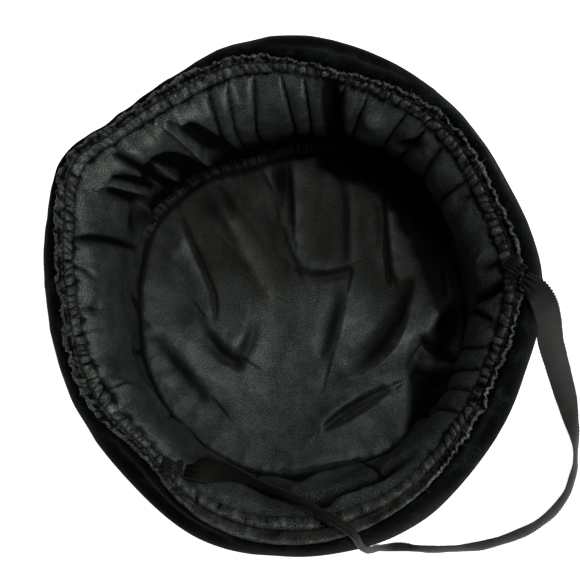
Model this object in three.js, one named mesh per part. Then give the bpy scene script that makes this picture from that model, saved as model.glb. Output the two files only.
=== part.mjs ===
// A soft velvet bonnet with a gathered satin lining and a ribbon chin strap.
// It lies on its crown with the mouth up. Millimetres, +Z up, the origin under its middle on the surface.
// Bearings are in degrees about that middle, anticlockwise from +X seen from above, and reach is the
// distance from the middle.
import * as THREE from 'three';

// Driving dimensions
const velvetWall = 1.8;          // velvet with its backing
const liningWall = 1.2;          // satin with its interlining
const gap = 0.4;                 // between pieces that lie on each other
const restReach = 60;            // flat stretch of the crown that the bonnet rests on
const bulgeHeight = 58;          // height of the widest part
const crownSeamHeight = 4;       // outer seam between crown and side
const liningSeamHeight = 11;     // seam between the side lining and the crown lining
const liningMiddleHeight = 3.4;  // top of the crown lining at its middle, just on the velvet tip
const mouthDrop = 6;             // the mouth's inner edge lies this far below the rim
const channelShare = 0.48;       // the channel's share of the casing's width
const channelThick = 2.4;
const headerThick = 1.2;
const puckerCount = 44;          // puckers of the drawn casing, each over three columns
const channelPucker = 0.5;       // how far a stitch pinches the channel
const headerCrinkle = 0.8;       // how far the header's edge rises and draws in
const ribbonWidth = 10;
const ribbonThick = 0.9;

// Faceting: columns round the bonnet and steps along the ribbon
const wallColumns = 60;
const pleatedColumns = 120;
const ribbonSteps = 68;

// The form by bearing: reach of the widest part, of the rim and of the mouth's inner edge, height of the
// rim, reach of the lining's seam, and how strongly the casing is drawn up.
const form = [
  { bearing: 0, bulge: 105.5, rim: 94.5, mouth: 88, height: 81, seam: 81, drawn: 1 },
  { bearing: 22, bulge: 103, rim: 92, mouth: 85.5, height: 81, seam: 79.5, drawn: 1 },
  { bearing: 45, bulge: 105, rim: 94, mouth: 88, height: 82, seam: 79.5, drawn: 1 },
  { bearing: 62, bulge: 107, rim: 92, mouth: 88.5, height: 82, seam: 79.5, drawn: 1 },
  { bearing: 74, bulge: 109.5, rim: 91, mouth: 89, height: 82, seam: 78, drawn: 1 },
  { bearing: 88, bulge: 111.5, rim: 94.5, mouth: 91, height: 82, seam: 76.5, drawn: 1 },
  { bearing: 102, bulge: 110.5, rim: 98, mouth: 92, height: 82, seam: 77, drawn: 1 },
  { bearing: 120, bulge: 104, rim: 97.5, mouth: 90.5, height: 82, seam: 79.5, drawn: 1 },
  { bearing: 137, bulge: 103.5, rim: 98.5, mouth: 93.5, height: 83, seam: 80, drawn: 1 },
  { bearing: 150, bulge: 108, rim: 104, mouth: 98, height: 85, seam: 81.5, drawn: 1 },
  { bearing: 165, bulge: 107, rim: 97.5, mouth: 91.5, height: 83, seam: 79, drawn: 1 },
  { bearing: 185, bulge: 102, rim: 91.5, mouth: 86, height: 82, seam: 77, drawn: 1 },
  { bearing: 210, bulge: 101, rim: 92, mouth: 84.5, height: 81, seam: 79.5, drawn: 1 },
  { bearing: 232, bulge: 102, rim: 88.5, mouth: 84, height: 80, seam: 81, drawn: 0.7 },
  { bearing: 252, bulge: 106.5, rim: 97.5, mouth: 90.5, height: 80, seam: 82, drawn: 0.15 },
  { bearing: 275, bulge: 109, rim: 101, mouth: 92.5, height: 80, seam: 82, drawn: 0.1 },
  { bearing: 300, bulge: 109, rim: 97.5, mouth: 91.5, height: 80, seam: 83, drawn: 0.2 },
  { bearing: 318, bulge: 105, rim: 93.5, mouth: 88, height: 80, seam: 84, drawn: 1 },
  { bearing: 338, bulge: 103.5, rim: 91.5, mouth: 86.5, height: 81, seam: 83.5, drawn: 1 },
];

// Creases of the side lining: bearing at the mouth and at the seam, depth, and half width in degrees.
const creases = [
  { mouthBearing: 5, seamBearing: 8, depth: 2.5, spread: 3 },
  { mouthBearing: 29, seamBearing: 33, depth: 2.8, spread: 3.5 },
  { mouthBearing: 41, seamBearing: 44, depth: 1.6, spread: 3 },
  { mouthBearing: 50, seamBearing: 55, depth: 2.8, spread: 3 },
  { mouthBearing: 67, seamBearing: 69, depth: 2, spread: 3 },
  { mouthBearing: 84, seamBearing: 83, depth: 2.6, spread: 3 },
  { mouthBearing: 91, seamBearing: 89, depth: 2.6, spread: 3 },
  { mouthBearing: 98.5, seamBearing: 100, depth: 2.6, spread: 3 },
  { mouthBearing: 106, seamBearing: 107, depth: 2.4, spread: 3 },
  { mouthBearing: 112.5, seamBearing: 112.5, depth: 2.2, spread: 3 },
  { mouthBearing: 123, seamBearing: 120, depth: 3, spread: 3.5 },
  { mouthBearing: 141, seamBearing: 134, depth: 3, spread: 4 },
  { mouthBearing: 148, seamBearing: 143, depth: 3, spread: 3 },
  { mouthBearing: 166, seamBearing: 161, depth: 2.8, spread: 3.5 },
  { mouthBearing: 175, seamBearing: 174, depth: 1.5, spread: 3 },
  { mouthBearing: 198, seamBearing: 201, depth: 1.6, spread: 5 },
  { mouthBearing: 228, seamBearing: 226, depth: 1.5, spread: 5 },
  { mouthBearing: 258, seamBearing: 262, depth: 1, spread: 6 },
  { mouthBearing: 296, seamBearing: 292, depth: 1, spread: 6 },
  { mouthBearing: 322, seamBearing: 318, depth: 2.2, spread: 4 },
  { mouthBearing: 335, seamBearing: 332, depth: 2.2, spread: 3.5 },
  { mouthBearing: 349, seamBearing: 341, depth: 2.4, spread: 3 },
];

// Folds of the crown lining: ridges from one end to the other, with rise and half width.
const crownFolds = [
  { fromX: -47, fromY: 50, toX: -27, toY: 8, rise: 2.6, spread: 7 },
  { fromX: -4, fromY: 62, toX: -2, toY: 28, rise: 1.8, spread: 6 },
  { fromX: 42, fromY: 46, toX: 48, toY: 6, rise: 2.2, spread: 9 },
  { fromX: 4, fromY: -66, toX: 52, toY: -40, rise: 3, spread: 8 },
  { fromX: -42, fromY: -28, toX: -12, toY: -38, rise: 1.8, spread: 9 },
  { fromX: 30, fromY: -10, toX: 60, toY: -22, rise: 2, spread: 9 },
];

// The ribbon's route from the right tack over the rim to the surface and back up to the left tack, with
// the way that its face looks.
const ribbonRoute = [
  { x: 93.2, y: -1.2, z: 83.2, faceX: -0.63, faceY: 0, faceZ: 0.77 },
  { x: 95.8, y: -3.8, z: 85, faceX: -0.25, faceY: 0, faceZ: 0.95 },
  { x: 98.8, y: -7.4, z: 85.5, faceX: 0.1, faceY: 0, faceZ: 1 },
  { x: 101.2, y: -11.3, z: 82.5, faceX: 0.3, faceY: -0.35, faceZ: 0.9 },
  { x: 104.4, y: -16.8, z: 74, faceX: 0.55, faceY: -0.6, faceZ: 0.6 },
  { x: 108.4, y: -23.3, z: 60, faceX: 0.5, faceY: -0.7, faceZ: 0.5 },
  { x: 115, y: -31.2, z: 42, faceX: 0.5, faceY: -0.65, faceZ: 0.5 },
  { x: 122, y: -40.3, z: 24, faceX: 0.5, faceY: -0.65, faceZ: 0.55 },
  { x: 128, y: -51, z: 11, faceX: 0.5, faceY: -0.5, faceZ: 0.7 },
  { x: 131, y: -61.5, z: 6.3, faceX: 0.75, faceY: -0.1, faceZ: 0.65 },
  { x: 131.5, y: -72, z: 5.3, faceX: 0.9, faceY: 0, faceZ: 0.45 },
  { x: 129.5, y: -82, z: 5.5, faceX: 0.97, faceY: -0.15, faceZ: 0.2 },
  { x: 125.5, y: -91, z: 5.5, faceX: 0.85, faceY: -0.5, faceZ: 0.15 },
  { x: 119, y: -98.5, z: 5.5, faceX: 0.7, faceY: -0.7, faceZ: 0.12 },
  { x: 110, y: -105, z: 5.4, faceX: 0.55, faceY: -0.83, faceZ: 0.15 },
  { x: 99, y: -110, z: 5.3, faceX: 0.4, faceY: -0.88, faceZ: 0.3 },
  { x: 87, y: -113.5, z: 4.9, faceX: 0.25, faceY: -0.8, faceZ: 0.55 },
  { x: 74, y: -115, z: 4.2, faceX: 0.12, faceY: -0.65, faceZ: 0.75 },
  { x: 61.5, y: -115.7, z: 3.9, faceX: 0.1, faceY: -0.6, faceZ: 0.8 },
  { x: 50.5, y: -115.8, z: 5.5, faceX: 0.3, faceY: -0.75, faceZ: 0.7 },
  { x: 43, y: -115, z: 11, faceX: 0.3, faceY: -0.9, faceZ: 0.5 },
  { x: 38.5, y: -113, z: 23, faceX: 0.3, faceY: -0.95, faceZ: 0.2 },
  { x: 35, y: -110.5, z: 42, faceX: 0.29, faceY: -0.95, faceZ: 0.05 },
  { x: 32.3, y: -107, z: 62, faceX: 0.28, faceY: -0.96, faceZ: 0.1 },
  { x: 29.5, y: -102.2, z: 78, faceX: 0.2, faceY: -0.9, faceZ: 0.4 },
  { x: 26.5, y: -97.4, z: 85.8, faceX: -0.1, faceY: -0.75, faceZ: 0.65 },
  { x: 22, y: -94.2, z: 86.5, faceX: -0.35, faceY: -0.7, faceZ: 0.6 },
  { x: 17, y: -92, z: 84.5, faceX: -0.42, faceY: -0.75, faceZ: 0.5 },
  { x: 11, y: -89, z: 80.5, faceX: -0.42, faceY: -0.8, faceZ: 0.4 },
  { x: 2, y: -85, z: 77.3, faceX: -0.42, faceY: -0.82, faceZ: 0.38 },
  { x: -7.5, y: -80.8, z: 76, faceX: -0.38, faceY: -0.8, faceZ: 0.42 },
  { x: -17, y: -77, z: 76, faceX: -0.3, faceY: -0.75, faceZ: 0.55 },
  { x: -26.5, y: -74.5, z: 76.4, faceX: -0.1, faceY: -0.4, faceZ: 0.9 },
  { x: -33, y: -73.9, z: 76.5, faceX: 0.2, faceY: 0.25, faceZ: 0.9 },
  { x: -38.6, y: -74.2, z: 75.8, faceX: 0.39, faceY: 0.66, faceZ: 0.64 },
];

// Form by bearing, smooth through the rows and round the ring
const formColumns = ['bulge', 'rim', 'mouth', 'height', 'seam', 'drawn'];
const turned = (row, turn) => ({ ...row, bearing: row.bearing + turn });
const formRows = [...form.slice(-2).map((row) => turned(row, -360)), ...form,
  ...form.slice(0, 2).map((row) => turned(row, 360))];
const formCurve = new THREE.CubicInterpolant(
  formRows.map((row) => row.bearing),
  formRows.flatMap((row) => formColumns.map((column) => row[column])),
  formColumns.length,
);

function formAt(bearing) {
  const values = formCurve.evaluate(THREE.MathUtils.euclideanModulo(bearing, 360));
  return Object.fromEntries(formColumns.map((column, i) => [column, values[i]]));
}

// A wall's closed section: its face path, and the same path set in by the wall's thickness
function wallSection(path, thickness) {
  const back = path.map((point, i) => {
    const before = path[Math.max(i - 1, 0)];
    const after = path[Math.min(i + 1, path.length - 1)];
    const along = new THREE.Vector2().subVectors(after, before).normalize();
    return new THREE.Vector2(point.x - along.y * thickness, point.y + along.x * thickness);
  });
  return [...path, ...back.reverse()];
}

function placed(bearing, point) {
  const angle = THREE.MathUtils.degToRad(bearing);
  return [point.x * Math.cos(angle), point.x * Math.sin(angle), point.y];
}

function solid(positions, faces) {
  const geometry = new THREE.BufferGeometry();
  geometry.setAttribute('position', new THREE.Float32BufferAttribute(positions.flat(), 3));
  geometry.setIndex(faces.flat());
  geometry.computeVertexNormals();
  return geometry;
}

// A closed ring swept round the bonnet: sectionAt(bearing) gives points of (reach, height)
function ring(columns, sectionAt) {
  const positions = [];
  const faces = [];
  let count = 0;
  for (let column = 0; column < columns; column += 1) {
    const bearing = (column * 360) / columns;
    const section = sectionAt(bearing, column);
    count = section.length;
    positions.push(...section.map((point) => placed(bearing, point)));
  }
  for (let column = 0; column < columns; column += 1) {
    const here = column * count;
    const next = ((column + 1) % columns) * count;
    for (let i = 0; i < count; i += 1) {
      const j = (i + 1) % count;
      faces.push([here + i, next + i, next + j], [here + i, next + j, here + j]);
    }
  }
  return solid(positions, faces);
}

// A round wall: pathAt(bearing) runs over the top from near the middle to the edge, under it back again
function disc(columns, pathAt, topMiddle, lowMiddle) {
  const positions = [[0, 0, topMiddle]];
  const faces = [];
  let count = 0;
  for (let column = 0; column < columns; column += 1) {
    const bearing = (column * 360) / columns;
    const path = pathAt(bearing);
    count = path.length;
    positions.push(...path.map((point) => placed(bearing, point)));
  }
  const bottom = positions.length;
  positions.push([0, 0, lowMiddle]);
  for (let column = 0; column < columns; column += 1) {
    const here = 1 + column * count;
    const next = 1 + ((column + 1) % columns) * count;
    faces.push([0, here, next], [bottom, next + count - 1, here + count - 1]);
    for (let i = 0; i < count - 1; i += 1) {
      faces.push([here + i, here + i + 1, next + i + 1], [here + i, next + i + 1, next + i]);
    }
  }
  return solid(positions, faces);
}

// Casing: a slanted band from the mouth's inner edge up to the rim, channel inside and header outside
function casingFrame(bearing) {
  const { rim, mouth, height } = formAt(bearing);
  const inner = new THREE.Vector2(mouth, height - mouthDrop);
  const outer = new THREE.Vector2(rim, height);
  const along = outer.clone().sub(inner);
  const width = along.length();
  along.normalize();
  return { inner, along, width, up: new THREE.Vector2(-along.y, along.x) };
}

function onCasing(frame, distance, rise) {
  return frame.inner.clone().addScaledVector(frame.along, distance).addScaledVector(frame.up, rise);
}

// Velvet side: out from the crown seam to the widest part, over the rim and tucked in under the header
const sideLowerSteps = 5;
const sideUpperSteps = 3;
const rimTuck = 2.2;
const crownSeamOut = 1;          // the outer crown seam lies this far outside the lining's seam
const headerUnderside = -headerThick / 2 - gap;

function velvetSidePath(bearing) {
  const { bulge, seam } = formAt(bearing);
  const frame = casingFrame(bearing);
  const crest = onCasing(frame, frame.width, headerUnderside);
  const tuck = onCasing(frame, frame.width - rimTuck, headerUnderside);
  const edge = seam + crownSeamOut;
  const lower = Array.from({ length: sideLowerSteps }, (_, i) => {
    const angle = (Math.PI / 2) * (i / sideLowerSteps);
    return new THREE.Vector2(edge + (bulge - edge) * Math.sin(angle),
      bulgeHeight - (bulgeHeight - crownSeamHeight) * Math.cos(angle));
  });
  const upper = Array.from({ length: sideUpperSteps + 1 }, (_, i) => {
    const angle = (Math.PI / 2) * (i / sideUpperSteps);
    return new THREE.Vector2(crest.x + (bulge - crest.x) * Math.cos(angle),
      bulgeHeight + (crest.y - bulgeHeight) * Math.sin(angle));
  });
  return [...lower, ...upper, tuck];
}

const velvetSide = ring(wallColumns, (bearing) => wallSection(velvetSidePath(bearing), velvetWall));

// Velvet tip: flat where it rests, turned up to the side's seam, where the side's wall leans in a little
const tipSteps = [{ reach: 25, lift: 0 }, { reach: restReach, lift: 0 }, { reach: 71, lift: 1.2 }];

function velvetTipPath(bearing) {
  const edge = formAt(bearing).seam + crownSeamOut - velvetWall / 3 - gap;
  const under = [...tipSteps.map((step) => new THREE.Vector2(step.reach, step.lift)),
    new THREE.Vector2(edge, crownSeamHeight)];
  const over = under.map((point) => new THREE.Vector2(point.x, point.y + velvetWall));
  return [...over, ...under.reverse()];
}

const velvetTip = disc(wallColumns, velvetTipPath, velvetWall, 0);

const columnsPerPucker = 3;
const casingColumns = puckerCount * columnsPerPucker;
const channelSides = 6;
const crinkle = [0, 1, 0.4];     // the header's wave over one pucker

function channelSection(bearing, column) {
  const frame = casingFrame(bearing);
  const half = (frame.width * channelShare) / 2;
  const pucker = column % columnsPerPucker === 0 ? channelPucker * formAt(bearing).drawn : 0;
  return Array.from({ length: channelSides }, (_, i) => {
    const angle = Math.PI * 2 * (i / channelSides);
    return onCasing(frame, half + half * Math.cos(angle), (channelThick / 2 - pucker) * Math.sin(angle));
  });
}

const casingChannel = ring(casingColumns, channelSection);

function headerSection(bearing, column) {
  const frame = casingFrame(bearing);
  const { drawn } = formAt(bearing);
  const start = frame.width * channelShare + gap;
  const wave = crinkle[column % columnsPerPucker] * headerCrinkle * drawn;
  const half = headerThick / 2;
  return [
    onCasing(frame, start, -half), onCasing(frame, frame.width - wave, wave - half),
    onCasing(frame, frame.width - wave, half + wave), onCasing(frame, start, half),
  ];
}

const casingHeader = ring(casingColumns, headerSection);

// Side lining: hangs from under the channel to the seam in soft puffs between its creases
const liningSteps = [0, 0.08, 0.3, 0.55, 0.8, 1];
const puffInward = 2.5;          // how far the puffs swell into the hollow
const creaseSharpness = 3;

function creaseDepth(bearing, share) {
  const depths = creases.map(({ mouthBearing, seamBearing, depth, spread }) => {
    const middle = THREE.MathUtils.lerp(mouthBearing, seamBearing, share);
    const away = THREE.MathUtils.euclideanModulo(bearing - middle + 180, 360) - 180;
    return depth * Math.exp(-creaseSharpness * (away / spread) ** 2);
  });
  return Math.max(...depths);
}

function liningSidePath(bearing) {
  const { mouth, height, seam } = formAt(bearing);
  const top = height - mouthDrop - gap;
  return liningSteps.map((share) => {
    const puff = Math.sin(Math.PI * share);
    const reach = THREE.MathUtils.lerp(mouth + 1, seam, share) - puffInward * puff;
    const crease = creaseDepth(bearing, share) * Math.sqrt(puff);
    return new THREE.Vector2(reach + crease, THREE.MathUtils.lerp(top, liningSeamHeight, share));
  });
}

const liningSide = ring(pleatedColumns, (bearing) => wallSection(liningSidePath(bearing), liningWall));

// Crown lining: a shallow dish on the velvet tip, with its folds, edged by the side lining's seam
const dishSteps = [0.2, 0.42, 0.64, 0.84, 1];

function foldRise(x, y) {
  return crownFolds.reduce((rise, { fromX, fromY, toX, toY, rise: height, spread }) => {
    const line = new THREE.Line3(new THREE.Vector3(fromX, fromY, 0), new THREE.Vector3(toX, toY, 0));
    const point = new THREE.Vector3(x, y, 0);
    const nearest = line.closestPointToPoint(point, true, new THREE.Vector3());
    return rise + height * Math.exp(-((point.distanceTo(nearest) / spread) ** 2));
  }, 0);
}

function liningTipPath(bearing) {
  const edge = formAt(bearing).seam - gap;
  const over = dishSteps.map((share) => {
    const reach = edge * share;
    const [x, y] = placed(bearing, new THREE.Vector2(reach, 0));
    const dish = (liningSeamHeight - liningMiddleHeight) * share ** 4;
    return new THREE.Vector2(reach, liningMiddleHeight + dish + foldRise(x, y) * (1 - share ** 6));
  });
  const under = over.map((point) => new THREE.Vector2(point.x, point.y - liningWall));
  return [...over, ...under.reverse()];
}

const middleRise = liningMiddleHeight + foldRise(0, 0);
const liningTip = disc(wallColumns, liningTipPath, middleRise, middleRise - liningWall);

// Ribbon: a flat strip along its route, turned to look the way that the table says
function routeCurve(columns) {
  const points = ribbonRoute.map((row) => new THREE.Vector3(...columns.map((column) => row[column])));
  return new THREE.CatmullRomCurve3(points);
}

function ribbonFrames() {
  const line = routeCurve(['x', 'y', 'z']);
  const looks = routeCurve(['faceX', 'faceY', 'faceZ']);
  return Array.from({ length: ribbonSteps + 1 }, (_, i) => {
    const along = line.getTangent(i / ribbonSteps);
    const across = looks.getPoint(i / ribbonSteps).cross(along).normalize();
    return { point: line.getPoint(i / ribbonSteps), across, face: along.cross(across) };
  });
}

function stripCorners({ point, across, face }) {
  return [[-1, -1], [1, -1], [1, 1], [-1, 1]].map(([side, front]) => point.clone()
    .addScaledVector(across, (side * ribbonWidth) / 2)
    .addScaledVector(face, (front * ribbonThick) / 2).toArray());
}

function ribbonGeometry() {
  const rings = ribbonFrames().map(stripCorners);
  const last = (rings.length - 1) * 4;
  const faces = [[0, 2, 1], [0, 3, 2], [last, last + 1, last + 2], [last, last + 2, last + 3]];
  for (let here = 0; here < last; here += 4) {
    for (let i = 0; i < 4; i += 1) {
      const j = (i + 1) % 4;
      faces.push([here + i, here + j, here + 4 + j], [here + i, here + 4 + j, here + 4 + i]);
    }
  }
  return solid(rings.flat(), faces);
}

// Tacks: the ribbon's folded ends, stitched down on the casing. Turn is the way that the ribbon leaves,
// from straight outwards towards a growing bearing.
const tackLength = 8;
const tackWidth = 8.4;
const tackThick = 1.8;
// Its outline in shares of the width and of the length, gathered in at the stitches
const tackOutline = [
  { side: -0.42, along: -0.5 }, { side: 0.42, along: -0.5 }, { side: 0.5, along: -0.3 },
  { side: 0.36, along: 0.1 }, { side: 0.5, along: 0.5 }, { side: -0.5, along: 0.5 },
  { side: -0.36, along: 0.1 }, { side: -0.5, along: -0.3 },
];
const tacks = [
  { name: 'ribbon_tack_right', bearing: 2.5, distance: 6.2, rise: 2.5, turn: -58 },
  { name: 'ribbon_tack_left', bearing: 239.3, distance: 2, rise: 3, turn: 118 },
];

function tackMesh({ name, bearing, distance, rise, turn }, material) {
  const frame = casingFrame(bearing);
  const seat = onCasing(frame, distance, rise);
  const angle = THREE.MathUtils.degToRad(bearing);
  const outward = new THREE.Vector3(...placed(bearing, frame.along));
  const around = new THREE.Vector3(-Math.sin(angle), Math.cos(angle), 0);
  const up = outward.clone().cross(around);
  const leave = outward.clone().applyAxisAngle(up, THREE.MathUtils.degToRad(turn));
  const outline = new THREE.Shape(tackOutline.map((corner) => (
    new THREE.Vector2(corner.side * tackWidth, corner.along * tackLength))));
  const geometry = new THREE.ExtrudeGeometry(outline, { depth: tackThick, bevelEnabled: false });
  geometry.translate(0, 0, -tackThick / 2);
  geometry.applyMatrix4(new THREE.Matrix4().makeBasis(leave.clone().cross(up), leave, up));
  geometry.translate(...placed(bearing, seat));
  return named(name, geometry, material);
}

// Materials
const velvet = new THREE.MeshStandardMaterial({ color: 0x0b0b0c, roughness: 0.95 });
const satin = new THREE.MeshStandardMaterial({ color: 0x1a1b1c, roughness: 0.42 });
const fadedSatin = new THREE.MeshStandardMaterial({ color: 0x22231f, roughness: 0.4 });
const ribbonSatin = new THREE.MeshStandardMaterial({ color: 0x2a2725, roughness: 0.5 });

function named(name, geometry, material) {
  const mesh = new THREE.Mesh(geometry, material);
  mesh.name = name;
  return mesh;
}

// The hat is centred on the origin by its widest ring
function widestRing() {
  const points = Array.from({ length: wallColumns }, (_, i) => {
    const bearing = (i * 360) / wallColumns;
    return new THREE.Vector3(...placed(bearing, new THREE.Vector2(formAt(bearing).bulge, 0)));
  });
  return new THREE.Box3().setFromPoints(points);
}

const bonnet = new THREE.Group();
bonnet.add(
  named('velvet_side', velvetSide, velvet),
  named('velvet_tip', velvetTip, velvet),
  named('casing_channel', casingChannel, satin),
  named('casing_header', casingHeader, satin),
  named('lining_side', liningSide, satin),
  named('lining_tip', liningTip, fadedSatin),
  named('chin_ribbon', ribbonGeometry(), ribbonSatin),
  ...tacks.map((row) => tackMesh(row, ribbonSatin)),
);
bonnet.position.copy(widestRing().getCenter(new THREE.Vector3())).negate();

export default bonnet;
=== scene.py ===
"""A soft velvet bonnet with a gathered satin lining and a ribbon chin strap, lying on its crown.

Lengths are in metres. Bearings are in degrees about the middle of the tables, anticlockwise from +X seen
from above, and reach is the distance from that middle.
"""
import math
from collections import namedtuple

import bpy
import numpy as np
from mathutils import Matrix, Vector, noise


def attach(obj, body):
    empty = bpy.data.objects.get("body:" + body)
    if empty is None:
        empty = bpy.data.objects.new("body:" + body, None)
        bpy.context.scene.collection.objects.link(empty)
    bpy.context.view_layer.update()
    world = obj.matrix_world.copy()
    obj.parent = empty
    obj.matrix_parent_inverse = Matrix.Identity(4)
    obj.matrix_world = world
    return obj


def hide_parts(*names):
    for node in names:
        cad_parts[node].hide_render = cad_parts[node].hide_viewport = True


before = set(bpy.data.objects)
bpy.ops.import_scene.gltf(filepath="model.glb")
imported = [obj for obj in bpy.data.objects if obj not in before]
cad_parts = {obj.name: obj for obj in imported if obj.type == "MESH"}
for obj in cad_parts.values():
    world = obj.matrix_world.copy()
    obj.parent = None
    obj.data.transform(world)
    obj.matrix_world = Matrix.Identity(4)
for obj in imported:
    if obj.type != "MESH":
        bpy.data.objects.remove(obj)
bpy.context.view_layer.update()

# Driving sizes, as in the frame
VELVET_WALL = 0.0018
GAP = 0.0004
BULGE_HEIGHT = 0.058
CROWN_SEAM_HEIGHT = 0.004
CROWN_SEAM_OUT = 0.001
LINING_SEAM_HEIGHT = 0.011
LINING_MIDDLE_HEIGHT = 0.0034
MOUTH_DROP = 0.006
CHANNEL_SHARE = 0.48
CHANNEL_THICK = 0.0024
HEADER_THICK = 0.0012
RIBBON_WIDTH = 0.010
RIBBON_THICK = 0.0009

# Thickness of each cloth in the scene
VELVET_CLOTH = 0.0013
CASING_CLOTH = 0.0003
SIDE_CLOTH = 0.0005
CROWN_CLOTH = 0.0004
TACK_CLOTH = 0.0004

# The form by bearing: reach of the widest part, of the rim and of the mouth's inner edge, height of the
# rim, reach of the lining's seam, and how strongly the casing is drawn up
Form = namedtuple("Form", "bearing bulge rim mouth height seam drawn")
FORM = (
    Form(0, 0.1055, 0.0945, 0.088, 0.081, 0.081, 1),
    Form(22, 0.103, 0.092, 0.0855, 0.081, 0.0795, 1),
    Form(45, 0.105, 0.094, 0.088, 0.082, 0.0795, 1),
    Form(62, 0.107, 0.092, 0.0885, 0.082, 0.0795, 1),
    Form(74, 0.1095, 0.091, 0.089, 0.082, 0.078, 1),
    Form(88, 0.1115, 0.0945, 0.091, 0.082, 0.0765, 1),
    Form(102, 0.1105, 0.098, 0.092, 0.082, 0.077, 1),
    Form(120, 0.104, 0.0975, 0.0905, 0.082, 0.0795, 1),
    Form(137, 0.1035, 0.0985, 0.0935, 0.083, 0.08, 1),
    Form(150, 0.108, 0.104, 0.098, 0.085, 0.0815, 1),
    Form(165, 0.107, 0.0975, 0.0915, 0.083, 0.079, 1),
    Form(185, 0.102, 0.0915, 0.086, 0.082, 0.077, 1),
    Form(210, 0.101, 0.092, 0.0845, 0.081, 0.0795, 1),
    Form(232, 0.102, 0.0885, 0.084, 0.08, 0.081, 0.7),
    Form(252, 0.1065, 0.0975, 0.0905, 0.08, 0.082, 0.15),
    Form(275, 0.109, 0.101, 0.0925, 0.08, 0.082, 0.1),
    Form(300, 0.109, 0.0975, 0.0915, 0.08, 0.083, 0.2),
    Form(318, 0.105, 0.0935, 0.088, 0.08, 0.084, 1),
    Form(338, 0.1035, 0.0915, 0.0865, 0.081, 0.0835, 1),
)

# The chin ribbon's route from the right tack to the left one, with the way that its face looks, and how far
# it is rolled up lengthwise, from 0 to 1
Strap = namedtuple("Strap", "x y z face_x face_y face_z rolled")
STRAP = (
    Strap(0.0932, -0.0012, 0.0832, -0.63, 0, 0.77, 0),
    Strap(0.0958, -0.0038, 0.085, -0.25, 0, 0.95, 0),
    Strap(0.0988, -0.0074, 0.0855, 0.1, 0, 1, 0),
    Strap(0.1012, -0.0113, 0.0825, 0.15, -0.55, 0.85, 0),
    Strap(0.1044, -0.0168, 0.074, 0.15, -0.8, 0.6, 0),
    Strap(0.1084, -0.0233, 0.06, 0.15, -0.83, 0.5, 0),
    Strap(0.115, -0.0312, 0.042, 0.2, -0.83, 0.5, 0),
    Strap(0.122, -0.0403, 0.024, 0.3, -0.78, 0.55, 0),
    Strap(0.128, -0.051, 0.011, 0.5, -0.5, 0.7, 0),
    Strap(0.131, -0.0615, 0.0063, 0.75, -0.1, 0.65, 0),
    Strap(0.1315, -0.072, 0.0053, 0.9, 0, 0.45, 0),
    Strap(0.1295, -0.082, 0.0052, 0.87, -0.15, 0.48, 0),
    Strap(0.1255, -0.091, 0.005, 0.75, -0.4, 0.55, 0),
    Strap(0.119, -0.0985, 0.0048, 0.56, -0.58, 0.6, 0),
    Strap(0.11, -0.105, 0.0047, 0.44, -0.68, 0.6, 0),
    Strap(0.099, -0.11, 0.0047, 0.33, -0.76, 0.56, 0),
    Strap(0.087, -0.1135, 0.0047, 0.22, -0.82, 0.52, 0),
    Strap(0.074, -0.115, 0.0045, 0.12, -0.88, 0.47, 0),
    Strap(0.0615, -0.1157, 0.0045, 0.1, -0.89, 0.45, 0),
    Strap(0.0505, -0.1158, 0.0055, 0.3, -0.88, 0.36, 0.3),
    Strap(0.043, -0.115, 0.011, 0.3, -0.9, 0.5, 0.8),
    Strap(0.0385, -0.113, 0.023, 0.3, -0.95, 0.2, 1),
    Strap(0.035, -0.1105, 0.042, 0.29, -0.95, 0.05, 1),
    Strap(0.0323, -0.107, 0.062, 0.28, -0.96, 0.1, 1),
    Strap(0.0295, -0.1022, 0.078, 0.2, -0.9, 0.4, 1),
    Strap(0.0265, -0.0974, 0.0858, -0.1, -0.75, 0.65, 1),
    Strap(0.022, -0.0942, 0.0865, -0.35, -0.7, 0.6, 1),
    Strap(0.017, -0.092, 0.0845, -0.42, -0.8, 0.35, 0.85),
    Strap(0.011, -0.089, 0.0805, -0.42, -0.85, 0.25, 0.6),
    Strap(0.002, -0.085, 0.0773, -0.42, -0.85, 0.28, 0.3),
    Strap(-0.0075, -0.0808, 0.076, -0.38, -0.8, 0.42, 0),
    Strap(-0.017, -0.077, 0.076, -0.3, -0.75, 0.55, 0),
    Strap(-0.0265, -0.0745, 0.0764, -0.1, -0.4, 0.9, 0),
    Strap(-0.033, -0.0739, 0.0765, 0.2, 0.25, 0.9, 0),
    Strap(-0.0386, -0.0742, 0.0758, 0.39, 0.66, 0.64, 0),
)

# Creases of the side lining: bearing at the mouth and at the seam, the shares of its height where the
# crease starts and ends, its depth, and its half width in degrees
Crease = namedtuple("Crease", "mouth_bearing seam_bearing start end depth spread")
CREASES = (
    Crease(30, 28, 0, 0.5, 0.0026, 2.6),
    Crease(40, 43, 0, 0.7, 0.0024, 2.4),
    Crease(48, 53, 0, 1, 0.003, 2.2),
    Crease(55, 58, 0, 0.8, 0.0022, 2),
    Crease(67, 69, 0, 1, 0.0018, 2.6),
    Crease(74, 72, 0, 1, 0.0032, 2.2),
    Crease(84, 84, 0, 1, 0.0028, 1.9),
    Crease(90, 89.5, 0, 1, 0.003, 1.9),
    Crease(99, 102, 0, 1, 0.003, 1.9),
    Crease(106, 108.5, 0, 0.75, 0.0026, 1.9),
    Crease(112, 112, 0, 1, 0.0032, 2.2),
    Crease(212, 211, 0, 0.25, 0.0012, 2.4),
    Crease(228, 226, 0.3, 1, 0.0016, 3),
    Crease(258, 262, 0.2, 1, 0.001, 4),
    Crease(296, 292, 0.1, 1, 0.0012, 4),
    Crease(322, 318, 0, 1, 0.0026, 2.6),
    Crease(329, 326, 0, 0.6, 0.002, 2.2),
    Crease(335, 332, 0, 1, 0.0028, 2.4),
    Crease(343, 338, 0, 0.7, 0.002, 2.2),
)

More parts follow.
